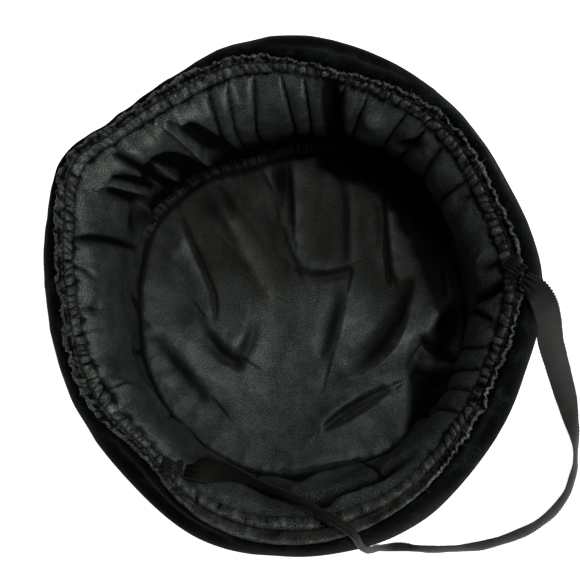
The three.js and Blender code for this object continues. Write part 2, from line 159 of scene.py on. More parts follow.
# Folds of a cloth: start, bend and end, the rise (a hollow has a negative one), and the half widths on the
# left and on the right of the way from start to end
Fold = namedtuple("Fold", "start bend end rise left right")

# On the crown lining, in the tables' x and y
CROWN_FOLDS = (
    Fold((-0.058, 0.045), (-0.051, 0.029), (-0.042, 0.008), -0.0012, 0.0008, 0.0008),
    Fold((-0.042, 0.008), (-0.04, 0.001), (-0.041, -0.005), -0.001, 0.0008, 0.0012),
    Fold((-0.06, 0.042), (-0.053, 0.026), (-0.045, 0.006), 0.0011, 0.0025, 0.009),
    Fold((-0.044, -0.007), (-0.036, -0.018), (-0.029, -0.023), 0.0013, 0.01, 0.0036),
    Fold((-0.029, -0.023), (-0.026, -0.018), (-0.025, -0.009), 0.001, 0.007, 0.0036),
    Fold((-0.042, -0.024), (-0.032, -0.034), (-0.024, -0.028), 0.0004, 0.0014, 0.004),
    Fold((0.025, 0.005), (0.022, -0.008), (0.018, -0.023), 0.0015, 0.013, 0.0045),
    Fold((0.026, 0.007), (0.023, -0.008), (0.019, -0.025), 0.0002, 0.0009, 0.0009),
    Fold((0.055, -0.003), (0.051, -0.028), (0.027, -0.034), 0.002, 0.01, 0.0055),
    Fold((0.056, 0), (0.052, -0.029), (0.026, -0.036), 0.0004, 0.0012, 0.0012),
    Fold((0.056, 0.01), (0.053, 0), (0.051, -0.008), -0.0012, 0.001, 0.0024),
    Fold((0.011, -0.06), (0.019, -0.048), (0.045, -0.039), 0.0009, 0.005, 0.0018),
    Fold((0.012, -0.062), (0.024, -0.06), (0.047, -0.042), 0.0009, 0.0018, 0.006),
    Fold((0.015, -0.058), (0.025, -0.049), (0.042, -0.041), -0.0009, 0.0017, 0.0017),
    Fold((-0.002, -0.078), (0.019, -0.073), (0.05, -0.069), 0.0013, 0.008, 0.004),
    Fold((-0.002, -0.079), (0.019, -0.074), (0.05, -0.07), 0.0003, 0.0009, 0.0009),
    Fold((0.002, -0.09), (0.026, -0.084), (0.053, -0.075), 0.0009, 0.003, 0.006),
    Fold((-0.07, -0.012), (-0.059, -0.022), (-0.042, -0.043), 0.0015, 0.012, 0.005),
    Fold((-0.072, -0.028), (-0.063, -0.04), (-0.049, -0.052), 0.0008, 0.003, 0.005),
    Fold((-0.058, -0.061), (-0.053, -0.062), (-0.047, -0.062), -0.0009, 0.005, 0.005),
    Fold((-0.04, -0.05), (-0.037, -0.052), (-0.034, -0.055), -0.0005, 0.005, 0.005),
    Fold((-0.008, 0.042), (-0.006, 0.03), (-0.001, 0.021), 0.0009, 0.009, 0.0024),
    Fold((-0.001, 0.021), (0.009, 0.016), (0.026, 0.021), 0.0009, 0.008, 0.0032),
    Fold((-0.004, 0.072), (-0.003, 0.055), (-0.003, 0.042), -0.001, 0.0008, 0.0008),
    Fold((-0.001, 0.071), (0, 0.054), (0, 0.034), 0.001, 0.005, 0.0016),
    Fold((0.026, 0.063), (0.027, 0.048), (0.027, 0.022), 0.0007, 0.0028, 0.003),
    Fold((0.044, 0.052), (0.044, 0.03), (0.046, 0.011), -0.0014, 0.0008, 0.0008),
    Fold((0.046, 0.051), (0.046, 0.033), (0.049, 0.015), 0.0012, 0.0045, 0.0016),
    Fold((-0.036, 0.048), (-0.027, 0.031), (-0.015, 0.01), 0.0006, 0.003, 0.005),
    Fold((-0.016, 0.07), (-0.013, 0.063), (-0.008, 0.056), 0.0008, 0.004, 0.0016),
    Fold((-0.007, 0.071), (-0.008, 0.063), (-0.009, 0.054), -0.0008, 0.003, 0.003),
    Fold((-0.049, 0.055), (-0.044, 0.051), (-0.04, 0.047), -0.001, 0.005, 0.006),
    Fold((-0.038, 0.059), (-0.035, 0.053), (-0.033, 0.048), -0.0008, 0.0024, 0.003),
    Fold((-0.026, 0.062), (-0.022, 0.056), (-0.019, 0.049), 0.0006, 0.006, 0.006),
    Fold((-0.064, 0.022), (-0.06, 0.028), (-0.055, 0.033), 0.0006, 0.005, 0.005),
    Fold((-0.06, -0.002), (-0.057, -0.005), (-0.053, -0.009), -0.0008, 0.007, 0.007),
    Fold((0.072, 0.017), (0.073, 0.01), (0.073, 0.003), -0.001, 0.0008, 0.0008),
    Fold((0.074, 0.015), (0.075, 0.008), (0.075, 0.003), 0.0006, 0.0016, 0.002),
    Fold((0.076, 0.001), (0.068, -0.008), (0.061, -0.018), 0.0016, 0.0022, 0.008),
    Fold((0.076, -0.004), (0.072, -0.013), (0.069, -0.02), -0.0026, 0.005, 0.004),
    Fold((0.062, -0.019), (0.068, -0.024), (0.076, -0.028), -0.003, 0.0028, 0.0012),
    Fold((0.062, -0.028), (0.069, -0.031), (0.08, -0.028), 0.0016, 0.0026, 0.0036),
    Fold((0.059, -0.035), (0.069, -0.039), (0.08, -0.034), -0.0018, 0.003, 0.003),
    Fold((0.059, -0.045), (0.067, -0.044), (0.073, -0.04), 0.0012, 0.004, 0.004),
    Fold((0.067, -0.051), (0.072, -0.048), (0.078, -0.045), -0.0018, 0.004, 0.004),
    Fold((0.058, -0.02), (0.058, -0.046), (0.052, -0.07), -0.0012, 0.0045, 0.003),
    Fold((0.073, -0.033), (0.074, -0.045), (0.065, -0.064), 0.004, 0.009, 0.01),
    Fold((0.035, 0.031), (0.038, 0.026), (0.042, 0.02), 0.0005, 0.005, 0.005),
    Fold((0.051, 0.001), (0.047, -0.015), (0.03, -0.03), -0.0016, 0.0042, 0.005),
    Fold((-0.045, -0.015), (-0.037, -0.024), (-0.029, -0.029), -0.0012, 0.0026, 0.003),
    Fold((-0.029, -0.028), (-0.024, -0.021), (-0.023, -0.01), -0.001, 0.0026, 0.003),
    Fold((0.021, 0.003), (0.018, -0.008), (0.014, -0.02), -0.0012, 0.0034, 0.004),
    Fold((-0.068, -0.018), (-0.059, -0.03), (-0.047, -0.043), -0.0012, 0.0042, 0.004),
    Fold((0.002, -0.083), (0.021, -0.079), (0.041, -0.075), -0.0012, 0.003, 0.004),
    Fold((0.063, -0.04), (0.067, -0.052), (0.062, -0.066), -0.0016, 0.009, 0.006),
    Fold((-0.007, 0.039), (-0.005, 0.028), (0.001, 0.019), -0.0009, 0.0016, 0.0026),
    Fold((0.002, 0.018), (0.011, 0.013), (0.025, 0.018), -0.0008, 0.002, 0.0028),
    Fold((0.024, 0.059), (0.025, 0.043), (0.024, 0.025), -0.0007, 0.0024, 0.003),
    Fold((0.04, 0.047), (0.041, 0.04), (0.041, 0.034), -0.0006, 0.0024, 0.003),
    Fold((0.015, 0.071), (0.02, 0.069), (0.024, 0.066), -0.0009, 0.003, 0.003),
    Fold((-0.01, 0.072), (-0.007, 0.066), (-0.006, 0.058), -0.001, 0.004, 0.003),
)

# The side lining's fall: share of the cloth from the mouth, how far it bulges inwards, share of its drop
Fall = namedtuple("Fall", "share inward drop")
LINING_FALL = (
    Fall(0, 0, 0),
    Fall(0.08, 0.0048, 0.05),
    Fall(0.2, 0.0082, 0.16),
    Fall(0.34, 0.0084, 0.34),
    Fall(0.5, 0.0045, 0.56),
    Fall(0.66, -0.0015, 0.78),
    Fall(0.78, -0.0052, 0.92),
    Fall(0.85, -0.0056, 0.97),
    Fall(0.93, -0.0026, 0.99),
    Fall(1, 0, 1),
)

# On the side lining, as bearing and share of the cloth from the mouth, and their size in metres
SIDE_SCALE = (0.0015, 0.07)
SIDE_FOLDS = (
    Fold((122, 0.14), (117, 0.24), (112.5, 0.52), -0.0075, 0.0011, 0.0075),
    Fold((122.5, 0.03), (122, 0.16), (119, 0.31), 0.0032, 0.0016, 0.003),
    Fold((127, 0.1), (124, 0.3), (121, 0.76), 0.0034, 0.003, 0.001),
    Fold((137, 0.28), (130, 0.2), (124, 0.62), -0.0085, 0.0012, 0.0085),
    Fold((142, 0.1), (139, 0.42), (134, 0.92), -0.0052, 0.0028, 0.001),
    Fold((136, 0.34), (134, 0.52), (132.5, 0.82), 0.0034, 0.0022, 0.0022),
    Fold((147, 0.2), (142, 0.28), (140.5, 0.54), -0.0055, 0.0012, 0.0036),
    Fold((152, 0.13), (146, 0.29), (144, 0.5), 0.003, 0.002, 0.002),
    Fold((150.5, 0.18), (148, 0.32), (145, 0.56), -0.0046, 0.001, 0.0036),
    Fold((147, 0.54), (148, 0.8), (150, 0.98), 0.0045, 0.002, 0.0035),
    Fold((150, 0.46), (153, 0.58), (156, 0.72), -0.0022, 0.004, 0.005),
    Fold((155, 0.02), (154, 0.08), (153.5, 0.14), -0.0018, 0.0009, 0.0009),
    Fold((167.5, 0), (163, 0.2), (160, 0.8), -0.004, 0.0012, 0.0024),
    Fold((175, 0), (174.5, 0.07), (176, 0.13), -0.0024, 0.0009, 0.0018),
    Fold((187, 0), (186, 0.06), (186, 0.14), -0.002, 0.0009, 0.0018),
    Fold((183, 0.16), (186, 0.13), (189, 0.09), -0.0012, 0.001, 0.0018),
    Fold((171, 0.88), (174, 0.95), (177, 1), -0.0026, 0.0012, 0.002),
    Fold((177, 0.82), (181, 0.92), (184, 0.99), -0.0038, 0.0012, 0.0024),
    Fold((198, 0.46), (197, 0.66), (196, 0.96), -0.0016, 0.001, 0.0022),
    Fold((198, 0.3), (203, 0.2), (208, 0.16), -0.0012, 0.003, 0.005),
    Fold((208.5, 0.08), (210.5, 0.1), (212, 0.16), 0.002, 0.002, 0.003),
    Fold((214, 0.3), (222, 0.4), (232, 0.36), 0.0024, 0.007, 0.007),
    Fold((236, 0.5), (250, 0.62), (268, 0.55), 0.003, 0.008, 0.01),
    Fold((244, 0.2), (256, 0.3), (272, 0.24), -0.0024, 0.007, 0.008),
    Fold((266, 0.46), (276, 0.6), (292, 0.72), -0.0036, 0.003, 0.005),
    Fold((272, 0.22), (287, 0.48), (306, 0.62), 0.004, 0.0024, 0.006),
    Fold((279, 0.12), (292, 0.2), (305, 0.14), -0.003, 0.002, 0.004),
    Fold((283, 0.08), (291, 0.08), (299, 0.06), 0.0024, 0.0016, 0.003),
    Fold((262, 0.24), (272, 0.14), (282, 0.08), -0.003, 0.002, 0.0034),
    Fold((244, 0.1), (252, 0.2), (262, 0.12), 0.0024, 0.003, 0.004),
    Fold((300, 0.72), (316, 0.8), (330, 0.86), 0.0046, 0.008, 0.008),
    Fold((354, 0.4), (351, 0.2), (349, 0.1), -0.0034, 0.002, 0.0012),
    Fold((350, 0), (349, 0.03), (347, 0.08), -0.0022, 0.0009, 0.002),
    Fold((356, 0), (354, 0.03), (352, 0.08), -0.0016, 0.0009, 0.0009),
    Fold((0, 0), (356.5, 0.05), (355, 0.3), -0.0056, 0.0012, 0.003),
    Fold((5, 0), (4, 0.06), (3.5, 0.16), -0.003, 0.001, 0.0022),
    Fold((9, 0.05), (7, 0.1), (5, 0.2), 0.0024, 0.0018, 0.0018),
    Fold((24, 0), (24.5, 0.06), (25, 0.12), -0.0024, 0.001, 0.0022),
    Fold((52, 0.28), (50, 0.27), (46, 0.18), -0.0034, 0.004, 0.002),
    Fold((64, 0.1), (62, 0.16), (61, 0.24), 0.0034, 0.005, 0.005),
    Fold((66, 0.05), (64, 0.03), (62, 0.05), -0.0018, 0.0015, 0.003),
    Fold((76.5, 0.06), (74.5, 0.24), (73, 0.7), -0.0065, 0.0035, 0.0055),
)

# On the velvet, as bearing and share of the way from the crown seam to the rim, and their size in metres
VELVET_SCALE = (0.00183, 0.1)
VELVET_FOLDS = (
    Fold((93, 0.88), (76, 0.82), (60, 0.86), -0.0016, 0.003, 0.004),
    Fold((92, 0.78), (74, 0.74), (56, 0.78), 0.001, 0.006, 0.006),
    Fold((256, 0.88), (240, 0.8), (224, 0.88), -0.0034, 0.005, 0.005),
    Fold((262, 0.78), (243, 0.7), (222, 0.76), 0.0016, 0.008, 0.008),
    Fold((340, 0.84), (326, 0.76), (312, 0.8), 0.0014, 0.007, 0.007),
    Fold((334, 0.9), (322, 0.86), (308, 0.9), -0.0016, 0.004, 0.004),
    Fold((20, 0.84), (32, 0.78), (46, 0.84), -0.0012, 0.006, 0.006),
    Fold((186, 0.42), (200, 0.34), (214, 0.42), -0.0026, 0.012, 0.012),
    Fold((120, 0.36), (134, 0.3), (148, 0.4), 0.0022, 0.012, 0.012),
    Fold((276, 0.34), (290, 0.26), (306, 0.34), -0.0026, 0.013, 0.013),
    Fold((350, 0.3), (2, 0.24), (16, 0.32), 0.0022, 0.013, 0.013),
    Fold((62, 0.26), (76, 0.32), (90, 0.26), -0.0024, 0.013, 0.013),
)

# The ribbon's folded ends: bearing, distance from the casing's inner edge and rise above it, and the way that
# the ribbon leaves, from straight outwards towards a growing bearing
Tack = namedtuple("Tack", "name node bearing distance rise turn")
TACKS = (
    Tack("right_tack", "ribbon_tack_right", 2.5, 0.0062, 0.0025, -58),
    Tack("left_tack", "ribbon_tack_left", 239.3, 0.002, 0.003, 118),
)
TACK_LENGTH = 0.008
TACK_WIDTH = 0.0084


# Curves that the shapes and the notes share

def within(values):
    """The values, held from 0 to 1."""
    return np.clip(values, 0, 1)


def slope_up(values, start, width):
    """0 up to the start, then rising evenly to 1 over the width."""
    return np.clip((values - start) / width, 0, 1)


def bell(values, middle, width, power=2):
    """1 at the middle, fading away on both sides of it."""
    return np.exp(-((values - middle) / width) ** power)


# The form of the bonnet

def smooth_through(knots, rows, places):
    """Rows of values at growing knots, read smoothly between them at each place."""
    rows = np.asarray(rows, float)
    knots = np.asarray(knots, float)
    chords = np.diff(rows, axis=0) / np.diff(knots)[:, None]
    slopes = np.vstack([chords[:1], (chords[:-1] + chords[1:]) / 2, chords[-1:]])
    first = np.clip(np.searchsorted(knots, places, side="right") - 1, 0, len(knots) - 2)
    step = (knots[first + 1] - knots[first])[:, None]
    share = (np.asarray(places) - knots[first])[:, None] / step
    low, high = rows[first], rows[first + 1]
    low_slope, high_slope = slopes[first] * step, slopes[first + 1] * step
    return (low * (2 * share ** 3 - 3 * share ** 2 + 1) + high * (3 * share ** 2 - 2 * share ** 3)
            + low_slope * (share ** 3 - 2 * share ** 2 + share) + high_slope * (share ** 3 - share ** 2))


def form_at(bearings):
    """The form at each bearing, as a row of arrays."""
    before = [row._replace(bearing=row.bearing - 360) for row in FORM[-2:]]
    after = [row._replace(bearing=row.bearing + 360) for row in FORM[:2]]
    rows = np.array([*before, *FORM, *after], float)
    bearings = np.mod(np.atleast_1d(np.asarray(bearings, float)), 360)
    return Form(bearings, *smooth_through(rows[:, 0], rows[:, 1:], bearings).T)


def turned_out(bearings, reach, height):
    """Points in the tables' frame."""
    angle = np.radians(bearings)
    return np.stack([reach * np.cos(angle), reach * np.sin(angle), height + 0 * angle], axis=-1)


def widest_ring_middle():
    bearings = np.arange(0, 360, 6)
    ring = turned_out(bearings, form_at(bearings).bulge, 0)
    return (ring.min(0) + ring.max(0)) / 2


MIDDLE = widest_ring_middle()


def placed(bearings, reach, height):
    """Points in the row frame."""
    return turned_out(bearings, reach, height) - MIDDLE


def casing_width(form):
    return np.hypot(form.rim - form.mouth, MOUTH_DROP)


def on_casing(form, distance, rise):
    """Reach and height of a point on the casing's slope: distance out from its inner edge, rise above it."""
    width = casing_width(form)
    along_x, along_z = (form.rim - form.mouth) / width, MOUTH_DROP / width
    reach = form.mouth + along_x * distance - along_z * rise
    return reach, form.height - MOUTH_DROP + along_z * distance + along_x * rise


def waver(points, size, seed=0.0):
    """Smooth noise from about -1 to 1 with lumps of that size, at each point."""
    shift = Vector((seed, 0.7 * seed, -1.3 * seed))
    return np.array([noise.noise(Vector(point) / size + shift) for point in points])


def round_noise(bearings, pitch, seed, across=0.0, girth=0.55):
    """Noise round the bonnet with that pitch along its girth. Across is a second way, already in pitches."""
    angle = np.radians(bearings)
    radius = girth / (2 * math.pi * pitch)
    points = np.stack([radius * np.cos(angle), radius * np.sin(angle), across + 0 * angle], axis=-1)
    return waver(points, 1.0, seed)


def fold_rise(places, folds, scale=(1.0, 1.0), period=None):
    """How far each place rises by the folds. Scale turns the table's two columns into metres."""
    places = np.asarray(places, float) * scale
    total = np.zeros(len(places))
    for fold in folds:
        start, bend, end = (np.array(point, float) for point in (fold.start, fold.bend, fold.end))
        if period:
            bend[0] = start[0] + (bend[0] - start[0] + period / 2) % period - period / 2
            end[0] = bend[0] + (end[0] - bend[0] + period / 2) % period - period / 2
        start, bend, end = start * scale, bend * scale, end * scale
        local = places - start
        if period:
            girth = period * scale[0]
            middle = (bend - start)[0]
            local[:, 0] = (local[:, 0] - middle + girth / 2) % girth - girth / 2 + middle
        total += fold.rise * fold_profile(local, bend - start, end - start, fold.left, fold.right)
    return total


def fold_profile(local, bend, end, left, right):
    """1 on a bent line from the origin to its end, falling off on each side of it."""
    steps = np.linspace(0, 1, 17)[:, None]
    line = 2 * steps * (1 - steps) * bend + steps ** 2 * end
    nearest = np.full(len(local), np.inf)
    side, run = np.zeros(len(local)), np.zeros(len(local))
    for i, (a, b) in enumerate(zip(line[:-1], line[1:])):
        along = b - a
        share = (local - a) @ along / (along @ along)
        away = local - a - within(share)[:, None] * along
        distance = np.hypot(away[:, 0], away[:, 1])
        turn = along[0] * (local - a)[:, 1] - along[1] * (local - a)[:, 0]
        closer = distance < nearest
        nearest = np.where(closer, distance, nearest)
        side = np.where(closer, turn, side)
        run = np.where(closer, (i + within(share)) / 16, run)
    width = np.where(side > 0, left, right)
    tapered = np.sin(math.pi * within(0.12 + 0.76 * run)) ** 0.6
    return tapered * np.exp(-(nearest / width) ** np.where(width < 0.0016, 1.2, 2))


# Cloth: a flat grid with its own UV map, moved into shape, sewn up and given its thickness

def pick(obj):
    bpy.ops.object.select_all(action="DESELECT")
    obj.select_set(True)
    bpy.context.view_layer.objects.active = obj


def flat_cloth(name, across, down):
    """A flat cloth of that many faces, with its places from 0 to 1 across and down."""
    bpy.ops.object.select_all(action="DESELECT")
    bpy.ops.mesh.primitive_grid_add(x_subdivisions=across, y_subdivisions=down, size=2)
    obj = bpy.context.object
    obj.name = obj.data.name = name
    flat = np.zeros(len(obj.data.vertices) * 3)
    obj.data.vertices.foreach_get("co", flat)
    flat = (flat.reshape(-1, 3) + 1) / 2
    return obj, within(flat[:, 0]), within(flat[:, 1])


def shape_cloth(obj, points):
    obj.data.vertices.foreach_set("co", np.ascontiguousarray(points, np.float32).ravel())
    obj.data.update()


def sew_up(obj):
    """Joins edges of the cloth that lie on each other."""
    pick(obj)
    bpy.ops.object.mode_set(mode="EDIT")
    bpy.ops.mesh.select_all(action="SELECT")
    bpy.ops.mesh.remove_doubles(threshold=1e-7)
    bpy.ops.object.mode_set(mode="OBJECT")


def thicken(obj, thickness):
    """Gives the cloth its wall behind its face."""
    pick(obj)
    wall = obj.modifiers.new("wall", "SOLIDIFY")
    wall.thickness = thickness
    wall.offset = -1
    bpy.ops.object.modifier_apply(modifier=wall.name)


def note(obj, name, values):
    """Keeps a value for each vertex, for the cloth's material to read."""
    attribute = obj.data.attributes.new(name, "FLOAT", "POINT")
    attribute.data.foreach_set("value", np.asarray(values, np.float32))


def dress(obj, node, material):
    """Smooth shading, its material, and its place in the frame."""
    obj.data.materials.clear()
    obj.data.materials.append(material)
    pick(obj)
    bpy.ops.object.shade_smooth()
    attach(obj, "root")
    if node:
        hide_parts(node)
    return obj


# Colours, in linear light

VELVET_PLAIN, VELVET_BLACK = (0.003, 0.003, 0.0036), (0.0009, 0.0012, 0.0012)
VELVET_BRUSHED, VELVET_DEEP = (0.0092, 0.0128, 0.0128), (0.0008, 0.0008, 0.001)
VELVET_SHEEN, SATIN_SHINE = (0.7, 0.85, 0.85), (0.86, 0.98, 0.94)
RIBBON_PLAIN, RIBBON_DARKER = (0.02, 0.019, 0.018), (0.0022, 0.0019, 0.0011)
RIBBON_DARK, RIBBON_PALE = (0.0098, 0.0094, 0.0081), (0.016, 0.0154, 0.0134)
RIBBON_RIB, RIBBON_EDGE = (0.0188, 0.018, 0.0162), (0.0235, 0.0225, 0.02)
THREAD_GREY, LINT_GREY = (0.06, 0.06, 0.056), (0.15, 0.15, 0.145)
CHARCOAL, FADED, BEIGE = (0.052, 0.06, 0.054), (0.0105, 0.0098, 0.0046), (0.12, 0.11, 0.07)
# SLATE and the two casing greys are lighter copies of the charcoal satin: painted light on the side walls and
# the casing, whose faded grey is also dusty.
SLATE, OLIVE = (0.07, 0.082, 0.073), (0.0158, 0.0152, 0.0074)
LIT_CASING_GREY, LIT_DUSTY_GREY = (0.066, 0.074, 0.066), (0.056, 0.059, 0.049)


# Materials

def new_material(name, colour, roughness, specular, sheen=0.0, sheen_roughness=0.4, sheen_tint=(1, 1, 1),
                 gloss_tint=(1, 1, 1)):
    """A plain finish. A pattern may take the place of its colour, roughness and normal."""
    material = bpy.data.materials.new(name)
    material.use_nodes = True
    shader = material.node_tree.nodes["Principled BSDF"]
    shader.inputs["Base Color"].default_value = (*colour, 1)
    shader.inputs["Roughness"].default_value = roughness
    shader.inputs["Specular IOR Level"].default_value = specular
    shader.inputs["Sheen Weight"].default_value = sheen
    shader.inputs["Sheen Roughness"].default_value = sheen_roughness
    shader.inputs["Sheen Tint"].default_value = (*sheen_tint, 1)
    shader.inputs["Specular Tint"].default_value = (*gloss_tint, 1)
    return material, material.node_tree, shader


def object_place(tree):
    return tree.nodes.new("ShaderNodeTexCoord").outputs["Object"]


def cloth_place(tree, width, length):
    """The cloth's own UV map in metres of cloth."""
    mapping = tree.nodes.new("ShaderNodeMapping")
    mapping.inputs["Scale"].default_value = (width, length, 1)
    tree.links.new(tree.nodes.new("ShaderNodeTexCoord").outputs["UV"], mapping.inputs["Vector"])
    return mapping.outputs["Vector"]


def noise_at(tree, place, size, detail=2.0, rough=0.5):
    """Noise with lumps of that size in metres."""
    texture = tree.nodes.new("ShaderNodeTexNoise")
    texture.inputs["Scale"].default_value = 1 / size
    texture.inputs["Detail"].default_value = detail
    texture.inputs["Roughness"].default_value = rough
    tree.links.new(place, texture.inputs["Vector"])
    return texture.outputs["Fac"]


def threads(tree, place, pitch, way):
    """Bands of thread along one way of the cloth."""
    wave = tree.nodes.new("ShaderNodeTexWave")
    wave.bands_direction = way
    wave.inputs["Scale"].default_value = math.tau / (20 * pitch)
    wave.inputs["Distortion"].default_value = 0.6
    wave.inputs["Detail Scale"].default_value = 2.0
    tree.links.new(place, wave.inputs["Vector"])
    return wave.outputs["Fac"]


def ramp(tree, value, low, high, out_low=0.0, out_high=1.0):
    """Spreads a value from low..high to out_low..out_high."""
    node = tree.nodes.new("ShaderNodeMapRange")
    node.interpolation_type = "SMOOTHSTEP"
    for socket, number in zip(("From Min", "From Max", "To Min", "To Max"), (low, high, out_low, out_high)):
        node.inputs[socket].default_value = number
    tree.links.new(value, node.inputs["Value"])
    return node.outputs["Result"]


def arithmetic(tree, operation, a, b):
    node = tree.nodes.new("ShaderNodeMath")
    node.operation = operation
    for socket, value in zip(node.inputs, (a, b)):
        if isinstance(value, (int, float)):
            socket.default_value = value
        else:
            tree.links.new(value, socket)
    return node.outputs[0]


def blend_colours(tree, factor, low, high):
    """Low where the factor is 0 and high where it is 1. Each is a colour or a socket."""
    node = tree.nodes.new("ShaderNodeMix")
    node.data_type = "RGBA"
    tree.links.new(factor, node.inputs["Factor"])
    for socket, colour in zip((node.inputs[6], node.inputs[7]), (low, high)):
        if isinstance(colour, tuple):
            socket.default_value = (*colour, 1)
        else:
            tree.links.new(colour, socket)
    return node.outputs[2]


def raise_by(tree, height, distance, normal=None):
    bump = tree.nodes.new("ShaderNodeBump")
    bump.inputs["Distance"].default_value = distance
    tree.links.new(height, bump.inputs["Height"])
    if normal:
        tree.links.new(normal, bump.inputs["Normal"])
    return bump.outputs["Normal"]


def noted(tree, name):
    node = tree.nodes.new("ShaderNodeAttribute")
    node.attribute_name = name
    return node.outputs["Fac"]


def velvet_cloth():
    """Black cotton velvet: deep pile, greyish in brushed patches, which are strongest on its roll, where that
    grey is painted sheen.
    """
    material, tree, shader = new_material("black_velvet", VELVET_PLAIN, 0.9, 0.05,
                                          sheen=0.012, sheen_roughness=0.5, sheen_tint=VELVET_SHEEN)
    place = object_place(tree)
    brushed = ramp(tree, noise_at(tree, place, 0.011, 6, 0.7), 0.48, 0.66)
    # The noted mask holds brushed wear and painted sheen.
    wear_and_painted_highlight = arithmetic(tree, "MULTIPLY", brushed, noted(tree, "wear_and_painted_highlight"))
    pile = noise_at(tree, place, 0.0007, 2)
    base = blend_colours(tree, wear_and_painted_highlight, VELVET_BLACK, VELVET_BRUSHED)
    base = blend_colours(tree, ramp(tree, pile, 0.3, 0.62), VELVET_DEEP, base)
    tree.links.new(base, shader.inputs["Base Color"])
    tree.links.new(raise_by(tree, pile, 0.0004), shader.inputs["Normal"])
    return material


SATIN_LUSTRE = 0.5      # how much of the shine takes the satin's own colour


def shaded(colour, amount):
    return tuple(amount * part for part in colour)


def satin_cloth(name, width, length, colour, faded, gloss, streak=None):
    """Charcoal satin with a fine weave, browner where it is faded, lighter where it is worn and where
    highlights are painted, darker in painted sheen mottles, and almost black where shade is painted.
    """
    material, tree, shader = new_material(name, colour, 0.42, gloss, gloss_tint=SATIN_SHINE)
    shader.inputs["Metallic"].default_value = SATIN_LUSTRE
    cloth = cloth_place(tree, width, length)
    place = object_place(tree)
    painted_shade, wear_and_painted_highlight, fade = noted(tree, "painted_shade"), noted(tree, "wear_and_painted_highlight"), noted(tree, "faded")
    warp, weft = threads(tree, cloth, 0.00034, "X"), threads(tree, cloth, 0.0004, "Y")
    weave = arithmetic(tree, "MULTIPLY", warp, weft)
    grain = noise_at(tree, cloth, 0.0006, 3, 0.7)
    cloudy = noise_at(tree, place, 0.03, 3, 0.55)
    mottled = noise_at(tree, place, 0.007, 5, 0.62)
    dye = arithmetic(tree, "MULTIPLY", ramp(tree, cloudy, 0.3, 0.56, 0.65, 1), fade)
    base = blend_colours(tree, dye, colour, faded)
    if streak:
        base = blend_colours(tree, noted(tree, "streak"), base, streak)
    # The dark mottles are painted unevenness of the sheen; the light flecks are grain and partly painted
    # glints of the weave.
    painted_sheen_mottle, specks = ramp(tree, mottled, 0.4, 0.62, 0.6, 0), ramp(tree, grain, 0.38, 0.56, 0.75, 0)
    grain_and_glint_flecks = ramp(tree, grain, 0.52, 0.66, 0, 0.7)
    grain_and_glint_flecks = arithmetic(tree, "MULTIPLY", grain_and_glint_flecks, ramp(tree, dye, 0, 1, 1, 0.45))
    # Lighter for wear and painted highlights, nearly black where shade is painted.
    for factor, amount in ((wear_and_painted_highlight, 2), (painted_sheen_mottle, 0.3), (specks, 0.2), (grain_and_glint_flecks, 2.6), (painted_shade, 0.04)):
        base = blend_colours(tree, factor, base, shaded(colour, amount))
    lint = ramp(tree, noise_at(tree, place, 0.0045, 1, 0.3), 0.83, 0.86)
    base = blend_colours(tree, lint, base, LINT_GREY)
    tree.links.new(base, shader.inputs["Base Color"])
    rough = ramp(tree, noise_at(tree, place, 0.012, 3), 0.3, 0.7, 0.34, 0.42)
    grainy = ramp(tree, grain, 0.3, 0.7, 0.06, -0.05)
    matt, matt_hollow = arithmetic(tree, "MULTIPLY", fade, 0.14), arithmetic(tree, "MULTIPLY", painted_shade, 0.3)
    for more in (grainy, matt, matt_hollow):
        rough = arithmetic(tree, "ADD", rough, more)
    tree.links.new(rough, shader.inputs["Roughness"])
    woven = raise_by(tree, weave, 0.00001)
    rumpled = raise_by(tree, noise_at(tree, place, 0.006, 3, 0.5), 0.0003, woven)
    tree.links.new(raise_by(tree, grain, 0.0001, rumpled), shader.inputs["Normal"])
    return material


def ribbon_cloth():
    """Ribbed satin ribbon, grey-brown black, with a painted highlight along its stitched edges."""
    material, tree, shader = new_material("ribbon_satin", RIBBON_PLAIN, 0.5, 0.06)
    cloth = cloth_place(tree, RIBBON_LENGTH, RIBBON_WIDTH)
    place = object_place(tree)
    ribs = threads(tree, cloth, 0.00045, "X")
    cloudy = noise_at(tree, place, 0.012, 3, 0.6)
    base = blend_colours(tree, ramp(tree, cloudy, 0.3, 0.7), RIBBON_DARK, RIBBON_PALE)
    base = blend_colours(tree, ramp(tree, ribs, 0.1, 0.9, 0.0, 0.4), base, RIBBON_RIB)
    # Lighter where a highlight is painted, then darker where noted, which on the tacks is painted shade in
    # the pleats.
    base = blend_colours(tree, noted(tree, "ribbon_painted_light"), base, RIBBON_EDGE)
    base = blend_colours(tree, noted(tree, "darker_end_and_pleat_shade"), base, RIBBON_DARKER)
    tree.links.new(base, shader.inputs["Base Color"])
    tree.links.new(raise_by(tree, ribs, 0.00008), shader.inputs["Normal"])
    return material


def sewing_thread():
    material, tree, shader = new_material("sewing_thread", THREAD_GREY, 0.6, 0.2, sheen=0.02)
    twist = threads(tree, object_place(tree), 0.0004, "DIAGONAL")
    tree.links.new(raise_by(tree, twist, 0.0001), shader.inputs["Normal"])
    return material


# Camera, at the photograph's angle

CAMERA_WAY = Vector((0.0837, -0.16, 0.9836))      # from the mouth to the camera
CAMERA_DISTANCE = 0.3
CAMERA_LENS = 46.55
MOUTH_MIDDLE = Vector((0.0043, -0.0074, 0.078))
CAMERA_SIDE, CAMERA_TOP = -0.002, 0.0024


